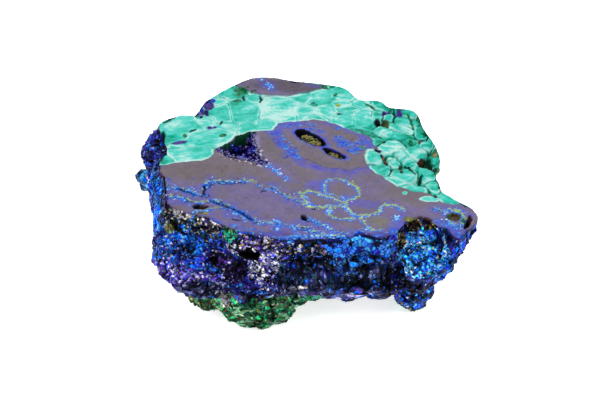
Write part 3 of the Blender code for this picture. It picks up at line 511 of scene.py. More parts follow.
EVERYWHERE = [((0, 0, 12), (99, 99, 99))]
REGIONS = {
    "druse": Region(
        EVERYWHERE,
        {"deep blue": 24, "royal": 16, "navy": 20, "indigo": 14, "violet": 12, "azure": 8,
         "black": 8, "lavender": 3, "sky": 3},
        0.55, lump=(1.0, 0.30), crystals=1.6, size=0.55, shine=0.25),
    "underside": Region(
        [((0, -2, 5.0), (40, 34, 6.5))],
        {"navy": 22, "deep blue": 16, "ink": 16, "indigo": 12, "dark teal": 8, "green": 8,
         "moss": 7, "brown": 6, "black": 8, "blue grey": 4},
        0.8, lump=(1.6, 0.35), crystals=0.5, size=0.6, shine=0.35),
    "azure wall": Region(
        [((-30.0, -9.0, 15.0), (4.2, 12.5, 9.0)), ((-27.5, -17.0, 17.0), (2.0, 4.0, 6.0))],
        {"azure": 60, "royal": 12, "sky": 21, "navy": 9},
        0.6, stretch=(1, 1, 0.3), lump=(0.9, 0.24), crystals=0.5, shine=0.25,
        light=1.8),
    "indigo shoulder": Region(
        [((-30.0, 6.5, 17.0), (5.0, 8.5, 7.0))],
        {"indigo": 22, "navy": 14, "violet": 8, "deep blue": 16, "black": 6, "royal": 14,
         "azure": 18, "lavender": 4, "white": 2},
        0.7, lump=(1.4, 0.4), crystals=1.8, size=0.8, shine=0.15, light=1.6),
    "left corner": Region(
        [((-21.5, -20.5, 20.6), (7.4, 5.2, 2.9)), ((-17.4, -22.0, 21.4), (4.6, 3.2, 2.0))],
        {"black": 26, "dark teal": 20, "ink": 8, "dark green": 6, "cream": 6, "white": 4,
         "brown": 8, "deep blue": 8, "moss": 5, "azure": 12, "sky": 3},
        0.5, lump=(0.9, 0.36), crystals=1.5, size=0.45, shine=0.2, light=1.65, painted_glints=0.05),
    "pale specks": Region(
        [((-23.4, -18.4, 22.7), (3.0, 2.2, 0.8)), ((-17.4, -22.2, 21.9), (3.0, 2.2, 1.3))],
        {"cream": 18, "white": 20, "brown": 12, "black": 20, "slate": 18, "violet": 12},
        0.45, lump=(0.8, 0.3), crystals=1.4, size=0.45),
    "olive crystal": Region(
        [((-25.4, -18.6, 19.4), (1.0, 1.8, 1.7))],
        {"olive": 50, "cream": 26, "moss": 14, "grey green": 10}, 0.5, lump=(0.9, 0.3),
        crystals=0.8, size=0.8, light=1.6),
    "cheek": Region(
        [((-22.5, -20.0, 14.6), (8.6, 7.0, 4.4))],
        {"royal": 24, "indigo": 16, "azure": 20, "violet": 12, "deep blue": 12, "black": 9,
         "sky": 6, "lavender": 3},
        0.55, lump=(1.1, 0.34), crystals=1.6, shine=0.2, light=1.15, painted_glints=0.05),
    "azure patch": Region(
        [((-20.4, -21.4, 17.2), (2.6, 2.6, 2.2)), ((-24.6, -18.4, 15.8), (2.4, 2.4, 1.6))],
        {"azure": 44, "sky": 14, "royal": 24, "navy": 12, "black": 6},
        0.5, lump=(1.1, 0.34), crystals=0.9, shine=0.2, light=1.1, painted_glints=0.03),
    "violet skirt": Region(
        [((-19.5, -21.0, 10.6), (9.0, 6.5, 2.6)), ((-25.0, -18.0, 8.4), (5.0, 6.0, 3.4))],
        {"violet": 22, "purple": 8, "indigo": 16, "navy": 10, "black": 6, "blue grey": 18,
         "lavender": 10, "royal": 10},
        0.55, lump=(1.0, 0.34), crystals=1.4, shine=0.2, light=2.5),
    "slate band": Region(
        [((-16.4, -24.0, 8.4), (8.0, 5.0, 1.9)), ((-6.5, -26.4, 9.6), (7.0, 4.0, 2.0))],
        {"blue grey": 28, "slate": 26, "lavender": 9, "ink": 20, "violet": 8, "brown": 4,
         "azure": 5},
        0.5, stretch=(0.5, 1, 1), lump=(0.8, 0.32), crystals=1.0, size=0.4,
        light=1.2),
    "brow": Region(
        [((-8.6, -27.2, 20.6), (6.0, 3.4, 2.6))],
        {"black": 18, "navy": 18, "ink": 14, "violet": 14, "lavender": 9, "white": 6, "tan": 6,
         "dark teal": 8, "royal": 7},
        0.5, lump=(0.9, 0.3), crystals=1.6, size=0.45, shine=0.2),
    "socket": Region(
        [((-6.4, -27.0, 15.4), (4.2, 4.0, 4.2)), ((-12.6, -26.0, 18.6), (2.0, 3.0, 1.8))],
        {"lavender": 22, "white": 14, "violet": 20, "indigo": 18, "royal": 10, "black": 14,
         "slate": 5},
        0.45, lump=(0.9, 0.34), crystals=1.8, size=0.42, shine=0.2, light=1.2, painted_glints=0.09),
    "green patch": Region(
        [((-13.6, -25.0, 21.9), (1.7, 1.8, 1.7))],
        {"green": 28, "bright green": 22, "sea green": 16, "moss": 14, "dark green": 12, "tan": 8},
        0.5, lump=(0.9, 0.3), crystals=0.8, size=0.45),
    # The front hole is painted black throughout: painted shade inside it.
    "front hole": Region(
        [((-9.9, -26.2, 18.8), (2.3, 3.4, 1.6))], {"black": 1}, 0.6, lump=(0.9, 0.1), shine=0.8,
        painted_glints=0),
    # The black, most of this palette, is painted shade in the hollows; the violets and purples are the
    # stone's own.
    "cheek hollow": Region(
        [((-15.8, -24.8, 15.6), (2.3, 3.2, 1.5)), ((-13.4, -25.4, 13.6), (2.5, 3.2, 1.8)),
         ((-11.2, -25.6, 11.8), (1.8, 3.0, 1.2))],
        {"black": 56, "navy": 12, "violet": 12, "purple": 14, "lavender": 3}, 0.45, crystals=0.9,
        size=0.4),
    "recess": Region(
        [((7.0, -28.0, 13.6), (12.5, 6.5, 5.6))],
        {"ink": 18, "navy": 18, "slate": 20, "black": 18, "blue grey": 6, "dark teal": 16,
         "deep blue": 8, "azure": 5},
        0.5, stretch=(1, 1, 0.22), lump=(0.9, 0.3), crystals=0.5, size=0.4, shine=0.25,
        light=1.35, painted_glints=0.01),
    "recess foot": Region(
        [((7.0, -26.0, 9.4), (12.0, 5.5, 1.5))],
        {"blue grey": 30, "slate": 24, "navy": 12, "violet": 10, "azure": 10, "lavender": 8,
         "ink": 6},
        0.6, stretch=(0.3, 1, 1), lump=(1.0, 0.24), crystals=0.4, size=0.4),
    # The slot under the ledge: its black is painted shade under the overhang, the other colours the
    # stone's own.
    "slot": Region(
        [((1.4, -29.0, 17.2), (6.4, 4.0, 1.7))],
        {"black": 46, "ink": 22, "dark teal": 16, "slate": 8, "royal": 8}, 0.5, crystals=0.6,
        size=0.4),
    "ledge": Region(
        [((8.6, -28.0, 20.4), (10.8, 4.0, 2.6)), ((8.4, -28.2, 16.9), (2.6, 3.0, 2.4))],
        {"azure": 38, "royal": 22, "sky": 8, "deep blue": 12, "navy": 14, "black": 6},
        1.1, lump=(1.9, 0.70), crystals=0.45, size=0.35, smooth=True, shine=0.12, light=1.05,
        painted_glints=0.04),
    "ledge end": Region(
        [((0.4, -28.4, 20.6), (3.8, 2.6, 1.9))],
        {"black": 22, "brown": 14, "white": 9, "lavender": 9, "dark teal": 12, "azure": 14,
         "royal": 12, "tan": 8},
        0.5, lump=(0.9, 0.36), crystals=1.6, size=0.45, shine=0.2),
    "bowl": Region(
        [((22.8, -26.0, 18.6), (5.6, 5.4, 5.2))],
        {"azure": 38, "sky": 24, "royal": 10, "pale sky": 6, "dark teal": 8, "navy": 12,
         "white": 1, "violet": 3, "sea green": 6, "olive": 2},
        0.45, lump=(1.0, 0.34), crystals=2.2, size=0.40, shine=0.15, light=1.7, painted_glints=0.05),
    # The bowl's rim: its black is painted shade under the overhanging edge, the browns, olive and tan
    # the stone's own.
    "bowl rim": Region(
        [((20.2, -21.6, 21.8), (2.8, 1.6, 1.5)), ((17.9, -24.8, 20.2), (0.9, 1.9, 2.8)),
         ((24.2, -22.9, 22.2), (1.6, 1.1, 1.0))],
        {"black": 46, "brown": 30, "ink": 10, "olive": 8, "tan": 6}, 0.5, lump=(0.9, 0.3),
        crystals=0.5, size=0.4, shine=0.4),
    "bowl shade": Region(
        [((21.5, -24.0, 11.4), (5.0, 5.4, 3.0))],
        {"black": 34, "navy": 22, "indigo": 14, "slate": 8, "royal": 8, "violet": 6, "azure": 5,
         "white": 2},
        0.5, lump=(0.9, 0.32), crystals=1.2, size=0.45, shine=0.2),
    "right wall": Region(
        [((30.0, -20.5, 15.4), (7.4, 10.4, 9.6))],
        {"royal": 22, "deep blue": 16, "azure": 34, "navy": 16, "dark teal": 14, "sky": 3},
        0.65, stretch=(1, 1, 0.5), lump=(1.2, 0.34), crystals=0.6, shine=0.2,
        light=1.5, painted_glints=0.01),
    "blue foot": Region(
        [((20.4, -18.4, 4.4), (6.0, 6.0, 6.2))],
        {"navy": 16, "deep blue": 14, "slate": 14, "royal": 12, "azure": 16, "dark teal": 24,
         "sky": 4, "lavender": 3},
        0.55, lump=(1.1, 0.3), crystals=1.2, shine=0.2, light=2.05),
    "blue foot sole": Region(
        [((20.4, -18.6, 0.2), (5.0, 5.4, 1.5))],
        {"green": 30, "moss": 20, "sea green": 16, "dark green": 20, "tan": 8, "slate": 6}, 0.5,
        lump=(0.9, 0.3), crystals=0.4, size=0.4),
    "rust spot": Region(
        [((18.4, -22.2, 2.6), (0.9, 1.4, 0.8))], {"rust": 60, "brown": 30, "tan": 10}, 0.4),
    "green foot": Region(
        [((-8.5, -25.0, 3.6), (9.2, 9.4, 6.7)), ((-2.8, -20.0, 5.6), (7.0, 8.0, 5.0))],
        {"dark green": 20, "green": 18, "grey green": 32, "moss": 14, "black": 6, "brown": 3,
         "bright green": 4, "cream": 2, "dark teal": 5},
        0.6, stretch=(0.55, 1, 1), lump=(1.3, 0.45), crystals=0.7,
        light=2.5, painted_glints=0.01),
    "green knob": Region(
        [((-18.9, -22.0, 3.4), (4.6, 5.4, 4.2))],
        {"moss": 24, "grey green": 28, "dark green": 22, "green": 10, "olive": 6, "brown": 6,
         "sky": 1},
        0.6, lump=(1.2, 0.42), crystals=0.9, light=2.1, painted_glints=0.01),
    "green nub": Region(
        [((2.4, -24.6, 8.6), (2.8, 3.4, 1.8))],
        {"green": 34, "bright green": 30, "dark green": 20, "moss": 10, "mint": 6}, 0.6,
        lump=(1.2, 0.35), crystals=0.6, size=0.45),
    "cream layer": Region(
        [((-14.4, -25.4, 7.6), (2.8, 3.0, 0.8)), ((-1.0, -25.4, 10.9), (2.4, 3.0, 0.4))],
        {"cream": 30, "white": 12, "tan": 10, "lavender": 22, "slate": 20, "brown": 6}, 0.5,
        stretch=(0.3, 1, 1), lump=(0.9, 0.2), crystals=0.3, size=0.4),
    "back foot left": Region(
        [((-14.5, 12.5, 3.0), (7.6, 7.0, 5.0))],
        {"dark green": 22, "green": 20, "dark teal": 14, "moss": 14, "navy": 12, "brown": 8,
         "sea green": 6, "black": 4},
        0.6, lump=(1.4, 0.42), crystals=0.9),
    "back foot right": Region(
        [((10.5, 14.5, 2.8), (8.2, 6.8, 4.6))],
        {"navy": 22, "deep blue": 16, "ink": 16, "dark teal": 14, "violet": 10, "green": 10,
         "moss": 8, "brown": 4},
        0.6, lump=(1.4, 0.42), crystals=1.0),
    "pale knob": Region(
        [((-32.0, 0.6, 16.8), (1.9, 3.0, 3.0))],
        {"sky": 40, "pale sky": 30, "azure": 22, "royal": 8}, 0.9, lump=(1.6, 0.2),
        crystals=0.4, smooth=True, shine=0.2),
    "back notch": Region(
        [((-21.6, 18.2, 19.6), (3.6, 4.4, 5.0))],
        {"indigo": 26, "royal": 20, "violet": 20, "navy": 16, "lavender": 8, "black": 8}, 0.6,
        lump=(1.1, 0.34), crystals=1.2, shine=0.2, light=1.4),
}
MALACHITE_WALL = Region(
    [], {"teal": 22, "sea green": 26, "green": 20, "dark green": 12, "mint": 20},
    1.5, lump=(2.6, 0.45), smooth=True, shine=0.25)
ALL_REGIONS = [*REGIONS.values(), MALACHITE_WALL]
MALACHITE = len(ALL_REGIONS) - 1
# Where the malachite goes down the wall: spot on the rim, reach along it, depth.
MALACHITE_DEPTHS = [
    ((-25.0, 14.6), 3.2, 4.4), ((-14.0, 26.0), 3.6, 3.0), ((8.0, 25.0), 6.0, 4.6),
    ((15.0, 19.5), 6.0, 6.2),
    ((22.6, 14.0), 7.0, 7.0), ((26.0, 3.0), 7.0, 6.0), ((25.6, -6.0), 6.0, 4.6),
    ((28.0, -15.0), 3.4, 1.6),
]


def by_region(setting, found):
    """One of the regions' settings, for each place by the number of its region."""
    return np.array([getattr(region, setting) for region in ALL_REGIONS])[found]


def regions_at(points):
    """The number of the region that each point of the wall is in."""
    loose = stirred(points, 2.2, 0.5, 301)
    loose = stirred(loose, 0.8, 0.25, 311)
    found = np.zeros(len(points), int)
    for number, region in enumerate(REGIONS.values()):
        for centre, half in region.forms:
            reach = (loose - np.array(centre)) / np.array(half)
            found[(reach**2).sum(axis=1) < 1] = number
    depth = np.zeros(len(points))
    for spot, reach, deep in MALACHITE_DEPTHS:
        away = np.hypot(loose[:, 0] - spot[0], loose[:, 1] - spot[1])
        depth = np.maximum(depth, deep * np.clip(1.5 - away / reach, 0, 1))
    depth += 0.8 * noise(points, 2.4, 331)
    found[(FACE_Z - points[:, 2] < depth) & (depth > 0.9)] = MALACHITE
    return found


def fissures(points):
    """1 in the thin cracks that run between blocks of the wall, 0 elsewhere."""
    ridge = np.abs(noise(points, 3.4, 341, 2) + 0.25 * noise(points, 0.9, 351))
    return fall(ridge, 0.04, 0.13)


def wall_colours(points, found):
    """Each point's colour and roughness from its region's palette, one pick for each grain, with
    painted shade and glints.
    """
    colours = np.zeros((len(points), 3))
    rough = np.zeros(len(points))
    broad = noise(points, 4.0, 401, 2)
    patch = noise(points, 2.2, 406, 2)
    cluster = step_up(noise(points, 1.5, 431, 2), -0.7, 0.7)
    cracks = fissures(points)
    spark = hashed(np.floor(points / 0.2).astype(np.int64), 441)
    for number, region in enumerate(ALL_REGIONS):
        here = found == number
        if not here.any():
            continue
        spots = points[here] * region.stretch
        near, following, own = grains(spots, region.grain, 411)
        draw = np.clip(own + 0.45 * patch[here] * (1 - np.abs(2 * own - 1)), 0, 0.999)
        pick = region.colours[np.searchsorted(region.shares, draw)]
        # The grain edges found here are darkened below: painted shade in the creases between the
        # grains.
        edge = step_up(following - near, 0.0, 0.30)
        if region.smooth and number != MALACHITE:
            bead_rim = np.exp(-(((following - near - 0.26) / 0.12) ** 2))
            pick = lay(pick, "sky", 0.45 * bead_rim * (own > 0.3))
        low = 0.45 if number == MALACHITE else 0.2
        # Painted shade: each grain darkens towards its edge, down to low, and the sunken cracks are
        # darkened further.
        value = (low + (1 - low) * edge) * (1 + 0.35 * broad[here])
        if number != MALACHITE:
            value = value * (0.40 + 1.20 * cluster[here]) * (1 - 0.9 * cracks[here])
        # Painted glints: a few grains, kept out of the cracks, are made bright specks standing in for
        # light off crystal faces.
        lit = (spark[here] < region.painted_glints) & (cracks[here] < 0.3)
        glint = (0.5 * LINEAR["pale sky"] + pick) * (0.3 + 0.9 * near)[:, None]
        pick = np.where(lit[:, None], glint, pick * value[:, None])
        colours[here] = pick
        rough[here] = region.shine + 0.25 * hashed((spots / region.grain).astype(np.int64), 421)
    return colours, rough


# Meshes.


def add_object(name, data):
    """A new object in the scene."""
    obj = bpy.data.objects.new(name, data)
    bpy.context.scene.collection.objects.link(obj)
    return obj


def mesh_object(name, points, faces, smooth=False):
    """A mesh object from points in millimetres."""
    mesh = bpy.data.meshes.new(name)
    mesh.from_pydata((points * MM).tolist(), [], faces.tolist())
    mesh.update()
    mesh.polygons.foreach_set("use_smooth", np.full(len(mesh.polygons), smooth))
    return add_object(name, mesh)


def points_of(mesh):
    flat = np.empty(len(mesh.vertices) * 3)
    mesh.vertices.foreach_get("co", flat)
    return flat.reshape(-1, 3)


def normals_of(mesh):
    flat = np.empty(len(mesh.vertices) * 3, np.float32)
    mesh.vertex_normals.foreach_get("vector", flat)
    return flat.reshape(-1, 3).astype(float)


def corners_of(mesh, sides):
    """The corners of every face of a mesh whose faces all have as many sides."""
    flat = np.empty(len(mesh.polygons) * sides, np.int32)
    mesh.polygons.foreach_get("vertices", flat)
    return flat.reshape(-1, sides)


def keep_colours(mesh, colours, rough, domain="POINT"):
    """Stores colour and roughness on a mesh for its material to read."""
    tint = mesh.attributes.new("tint", "FLOAT_COLOR", domain)
    tint.data.foreach_set("color", np.column_stack([colours, np.ones(len(colours))]).ravel())
    gloss = mesh.attributes.new("gloss", "FLOAT", domain)
    gloss.data.foreach_set("value", rough.astype(np.float32))


def finish_piece(obj, material, slot, *nodes):
    """Gives a piece its material, hangs it on the root body and hides the CAD parts named in nodes."""
    obj.data.materials.append(material)
    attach(obj, "root")
    if nodes:
        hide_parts(*nodes)


def rim_prism():
    """A slab under the face, as far out as the rim, which fills the CAD's pits."""
    count = len(RIM_LOOP)
    low = np.column_stack([RIM_LOOP, np.full(count, FACE_Z - RIM_FILL)])
    high = np.column_stack([RIM_LOOP, np.full(count, FACE_Z + 1.0)])
    ring = np.arange(count)
    following = (ring + 1) % count
    sides = [[a, b, b + count, a + count] for a, b in zip(ring, following)]
    return np.vstack([low, high]), sides + [ring[::-1].tolist(), (ring + count).tolist()]


def grown_stone():
    """The CAD stone with a full rim, as one fine closed mesh in millimetres."""
    build = bmesh.new()
    build.from_mesh(STONE.data)
    bmesh.ops.scale(build, vec=Vector((1 / MM,) * 3), verts=build.verts)
    points, faces = rim_prism()
    corners = [build.verts.new(point) for point in points]
    for face in faces:
        build.faces.new([corners[i] for i in face])
    coarse = bpy.data.meshes.new("coarse")
    build.to_mesh(coarse)
    build.free()
    rough = add_object("coarse", coarse)
    remesh = rough.modifiers.new("grain", "REMESH")
    remesh.mode = "VOXEL"
    remesh.voxel_size = WALL_GRAIN
    evaluated = rough.evaluated_get(bpy.context.evaluated_depsgraph_get())
    fine = bpy.data.meshes.new_from_object(evaluated)
    bpy.data.objects.remove(rough)
    return fine


def islands(faces, count):
    """For each of count points, the lowest number among the points that the faces tie it to."""
    island = np.arange(count)
    while True:
        before = island.copy()
        np.minimum.at(island, faces, island[faces].min(axis=1)[:, None])
        island = island[island]
        if (island == before).all():
            return island


def keep_largest(mesh):
    """Drops every loose part but the largest, such as the skins of cavities."""
    island = islands(corners_of(mesh, 4), len(mesh.vertices))
    build = bmesh.new()
    build.from_mesh(mesh)
    build.verts.ensure_lookup_table()
    spare = np.flatnonzero(island != np.bincount(island).argmax())
    bmesh.ops.delete(build, geom=[build.verts[index] for index in spare], context="VERTS")
    build.to_mesh(mesh)
    build.free()


def relief(points, found):
    """How far each point of the wall stands out, by its region."""
    out = 0.30 * noise(points, 3.2, 501) + 0.18 * noise(points, 1.5, 511)
    for number, region in enumerate(ALL_REGIONS):
        here = found == number
        if not here.any():
            continue
        size, amount = region.lump
        spots = points[here] * region.stretch
        near, _, own = grains(spots, size, 521)
        if region.smooth:
            lump = np.sqrt(np.clip(1.1 - near**2, 0, 1)) - 0.75
        else:
            lump = 0.45 - near + 0.5 * (own - 0.5)
        out[here] += amount * lump + 0.10 * noise(spots, 0.45, 531)
    return out - 0.45 * fissures(points) * (found != MALACHITE)


def wall_mesh():
    """The rough wall and underside as triangles in millimetres, open at the top, and a tree of it."""
    mesh = grown_stone()
    keep_largest(mesh)
    points = points_of(mesh)
    normals = normals_of(mesh)
    found = regions_at(points)
    depth = FACE_Z - points[:, 2]
    fade = np.clip(depth / 1.6, 0.15, 1) * np.clip(points[:, 2] / 0.8, 0, 1)
    points = points + normals * (relief(points, found) * fade)[:, None]
    points[:, 2] = np.clip(points[:, 2], 0.02, None)
    mesh.vertices.foreach_set("co", points.ravel())
    mesh.update()
    build = bmesh.new()
    build.from_mesh(mesh)
    tree = BVHTree.FromBMesh(build)
    cut = [*build.verts, *build.edges, *build.faces]
    level = Vector((0, 0, FACE_Z - RIM_TRIM))
    bmesh.ops.bisect_plane(build, geom=cut, plane_co=level, plane_no=(0, 0, 1), clear_outer=True)
    bmesh.ops.triangulate(build, faces=build.faces)
    build.to_mesh(mesh)
    build.free()
    return points_of(mesh), corners_of(mesh, 3), tree


def wall_pieces(material):
    """Makes the wall in three parts. Gives a tree of it, and what its crystals need to know."""
    points, faces, tree = wall_mesh()
    first, second, third = (points[faces[:, corner]] for corner in range(3))
    across = np.cross(second - first, third - first)
    area = np.linalg.norm(across, axis=1) / 2
    normals = across / np.maximum(2 * area, 1e-9)[:, None]
    centres = (first + second + third) / 3
    found = regions_at(centres)
    colours, rough = wall_colours(centres, found)
    smooth = by_region("smooth", found)
    stretch = np.searchsorted(WALL_CUTS, centres[:, 1])
    for number, name in enumerate(("wall_front", "wall_middle", "wall_back")):
        chosen = stretch == number
        used, place = np.unique(faces[chosen], return_inverse=True)
        obj = mesh_object(name, points[used], place.reshape(-1, 3))
        keep_colours(obj.data, colours[chosen], rough[chosen], "FACE")
        obj.data.polygons.foreach_set("use_smooth", smooth[chosen])
        finish_piece(obj, material, "stone", "stone")
    return tree, (centres, normals, area, found)


# The sawn face.


def nodule_field(points):
    """For each point, the nearest nodule's measure, the gap to the next one, and its number."""
    loose = stirred(stirred(points, 2.4, 0.40, 601), 0.8, 0.14, 606)
    best = np.full(len(points), 99.0)
    following = best.copy()
    number = np.zeros(len(points), int)
    for index, (centre, half, turn, _) in enumerate(NODULES):
        measure = oval(loose, centre, half, turn)
        reach = (measure - 1) * min(half)  # so that cells meet halfway between their ovals
        closer = reach < best
        following = np.where(closer, best, np.minimum(following, reach))
        number = np.where(closer, index, number)
        best = np.where(closer, reach, best)
    return best, following - best, number


def malachite_tint(shade):
    """A colour from dark green at -1.3 to the palest mint at 1."""
    stops = np.array([-1.3, -0.9, -0.5, -0.1, 0.35, 1.0])
    colours = lights("dark green", "green", "teal", "sea green", "mint", "pale mint")
    return np.column_stack([np.interp(shade, stops, colours[:, axis]) for axis in range(3)])


def paint_azurite(points):
    """The polished azurite's colour and roughness. Its taupe is partly its own colour, partly a painted
    reflection of the pale studio on the polish.
    """
    colours = np.tile(LINEAR["taupe"], (len(points), 1))
    colours = lay(colours, "violet taupe", 0.6 * step_up(noise(points, 6.0, 611, 3), -0.2, 0.7))
    loose = stirred(points, 1.8, 0.5, 621)
    for centre, half, turn, colour, strength in TONES:
        measure = oval(loose, centre, half, turn)
        colours = lay(colours, colour, strength * fall(measure, 0.55, 1.25))
    for line, width, colour, strength in RINGS:
        distance = to_curve(loose, line)[0]
        mottle = 0.7 + 0.5 * noise(points, 0.8, 631)
        amount = strength * mottle * fall(distance, 0.3 * width, 1.5 * width)
        colours = lay(colours, colour, amount)
    speck = noise(points, 0.42, 641, 2)
    colours *= (1 + 0.10 * speck + 0.10 * noise(points, 1.4, 651))[:, None]
    _, _, own = grains(points * (0.55, 1.0), 0.28, 665)
    bright = lights("azure", "royal", "sky", "azure", "haze", "azure", "royal")
    pick = bright[((own * 91.7) % 1 * len(bright)).astype(int)]
    for line, reach, share in FLECKS:
        distance = to_curve(loose, line)[0]
        cloud = share * (1 + 0.8 * noise(points, 1.3, 671, 2)) * np.exp(-((distance / reach) ** 2))
        colours = lay(colours, "royal", 0.6 * cloud)
        colours = lay(colours, pick, own < cloud)
    near, _, own = grains(points, 0.6, 661)
    grain = fall(near, 0.12, 0.34)
    colours = lay(colours, "haze", 0.7 * grain * (own < 0.12))
    colours = lay(colours, "navy", 0.7 * grain * (own > 0.92))
    colours = lay(colours, "azure", 0.7 * grain * ((own > 0.5) & (own < 0.52)))
    return colours, np.full(len(points), 0.32)


def paint_veins(colours, points):
    """Lays the veins over the azurite: a haze, azure, navy and yellow-green threads, then grains."""
    loose = stirred(points, 1.1, 0.30, 701)
    loose = stirred(loose, 0.5, 0.12, 711)
    near, following, own = grains(points, VEIN_GRAIN, 741)
    kind = (own * 57.31) % 1
    shape = 0.75 + 0.35 * step_up(following - near, 0.0, 0.35)
    for index, (line, width, sky, green, navy) in enumerate(VEINS):
        width = width * VEIN_SPREAD
        distance, side, _ = to_curve(loose, line)
        close = distance < 6 * width
        pulse = noise(points[close], 1.6, 720 + 31 * index, 2)
        reach = distance[close] / width / (1 + 0.4 * pulse)
        across = side[close] * reach
        haze = (0.7 - 0.3 * green) * np.exp(-((reach / 2.8) ** 2)) * (0.7 + 0.4 * pulse)
        base = lay(colours[close], "haze", haze)
        thread = np.exp(-(((across + 0.35) / 0.6) ** 2)) * step_up(pulse, -1.0, -0.1)
        base = lay(base, "azure", 1.3 * sky * thread)
        thread = np.exp(-(((across + 1.0) / 0.4) ** 2)) * step_up(pulse, -0.1, 0.4)
        base = lay(base, "navy", navy * thread)
        thread = np.exp(-(((across - 0.4) / 0.5) ** 2)) * fall(pulse, 0.0, 1.0)
        base = lay(base, "yellow green", 0.85 * green * thread)
        above = across > 0
        blue = sky * np.where(above, 0.5, 1.0)
        shares = np.stack([
            1.1 * blue, 0.9 * blue, 0.3 * blue * (1 + pulse),
            green * np.where(above, 1.8, 0.3) * (1 - 0.8 * pulse),
            1.3 * navy * np.where(above, 0.4, 1.6), np.full(len(pulse), 0.04)], axis=1)
        shares = np.cumsum(np.clip(shares, 0, None), axis=1)
        shares /= shares[:, -1:]
        pick = (kind[close, None] > shares).sum(axis=1)
        grain = VEIN_BRIGHTNESS * VEIN_COLOURS[pick] * shape[close, None]
        chance = 0.66 * np.exp(-((reach / 1.15) ** 2)) * (1 + 0.5 * pulse)
        colours[close] = lay(base, grain, own[close] < chance)
    return colours


def paint_malachite(points, band, edge):
    """The malachite's colour, roughness and drop below the saw's cut."""
    reach, gap, number = nodule_field(points)
    wild = step_up(points[:, 0], 11.0, 17.0)
    centres, turns, tints = (
        np.array([nodule[part] for nodule in NODULES], float)[number] for part in (0, 2, 3))
    turns = np.radians(turns)
    away = points - centres
    along = away[:, 0] * np.cos(turns) + away[:, 1] * np.sin(turns)
    aside = away[:, 1] * np.cos(turns) - away[:, 0] * np.sin(turns)
    fibre = np.column_stack([0.35 * along, 1.5 * aside]) + 40.0 * number[:, None]
    own = np.where(number == 0, 1.0, hashed(np.column_stack([number, number, number]), 831))
    rings = np.sin(reach * 6.0 + 1.6 * noise(points, 1.2, 801, 2) + 6 * own)
    shade = 0.85 * tints + 0.12 * rings + (0.34 + 0.16 * wild) * noise(fibre, 0.9, 805, 2)
    shade += 0.46 * noise(points, 2.6, 811, 2) + 0.12 * noise(points, 0.5, 821)
    outline = np.exp(-(((gap - 0.38 - 0.16 * wild) / 0.22) ** 2)) * (0.3 + (0.8 + 0.3 * wild) * own)
    border = np.exp(-(((band - 0.32) / 0.26) ** 2))
    shade += np.maximum(outline, 1.1 * border)
    shade += 0.34 * fall(points[:, 0], -14.0, -4.0) - 0.22 * wild
    broken = step_up(noise(points, 1.8, 841, 2) + 0.35 * wild, 0.0, 0.5)
    seam = fall(gap / (1 + 0.9 * wild), 0.04, 0.24) * broken * (band > 0.3)
    shade -= (0.5 + 0.6 * wild) * seam
    ground = step_up(reach, 0.15, 0.6)
    shade -= (0.25 + 0.7 * wild) * ground
    colours = malachite_tint(shade)
    tilt = (own - 0.5) * along + (((own * 7.7) % 1) - 0.5) * aside
    drop = 0.10 + (0.05 + 0.08 * wild) * tilt + (0.12 + 0.30 * wild) * ((own * 3.3) % 1)
    drop += (0.10 + 0.35 * wild) * step_up(reach, -0.7, 0.3)
    drop += (0.10 + 0.30 * wild) * seam + (0.25 + 0.5 * wild) * ground
    drop += 0.05 * noise(fibre, 0.6, 851) + (0.03 + 0.12 * wild) * (noise(points, 1.3, 853, 2) + 0.5)
    drop *= step_up(edge, 0.0, 0.6)
    return colours, 0.30 + 0.10 * noise(points, 0.8, 861), np.clip(drop, 0.02, None)


def paint_face(points):
    """The sawn face's colour, roughness, height, and distance inside the rim and the malachite."""
    edge = inset(points, RIM_LOOP)
    colours, rough = paint_azurite(points)
    colours = paint_veins(colours, points)
    drop = 0.03 * (noise(points, 0.7, 901) + 1)
    for line, width, deep in CRACKS:
        distance = to_curve(stirred(points, 0.9, 0.2, 911), line)[0]
        parted = step_up(width - distance, -0.12, 0.08)
        beside = step_up(width - distance, -0.40, -0.15)
        beside = beside * step_up(noise(points, 0.8, 915), -0.6, 0.1)
        colours = lay(colours, "azure", 0.9 * beside)
        colours = lay(colours, "navy", parted)
        drop += deep * parted
    band = inset(stirred(points, 0.9, 0.18, 921), BAND_LOOP)
    green, green_rough, green_drop = paint_malachite(points, band, edge)
    malachite = step_up(band, -0.06, 0.10)
    colours = lay(colours, green, malachite)
    rough = rough + (green_rough - rough) * malachite
    drop = drop + (green_drop - drop) * malachite
    colours, drop = paint_spots(points, colours, drop)
    colours, rough, drop = paint_eyes(points, colours, rough, drop)
    colours, rough, drop = paint_vug(points, colours, rough, drop)
    ragged = edge + 0.42 * noise(points, 1.9, 961, 2) + 0.25 * noise(points, 0.6, 971)
    chipped = fall(ragged, -0.15, 0.25) * (1 - malachite)
    lap = edge + (0.5 * noise(points, 2.0, 991, 2) + 0.3 * noise(points, 0.8, 995)) * malachite
    drop += 0.4 * chipped * (1 + noise(points, 0.7, 981)) + 1.6 * np.clip(-lap, 0, 2)
    solid = np.column_stack([points, FACE_Z - drop])
    worn = (chipped > 0.45) & (edge < 1.2)
    wall, wall_rough = wall_colours(solid[worn], regions_at(solid[worn]))
    stays = malachite[worn] > 0.5
    colours[worn] = np.where(stays[:, None], colours[worn], wall)
    rough[worn] = np.where(stays, rough[worn], wall_rough)
    return colours, rough, FACE_Z - drop, edge, band


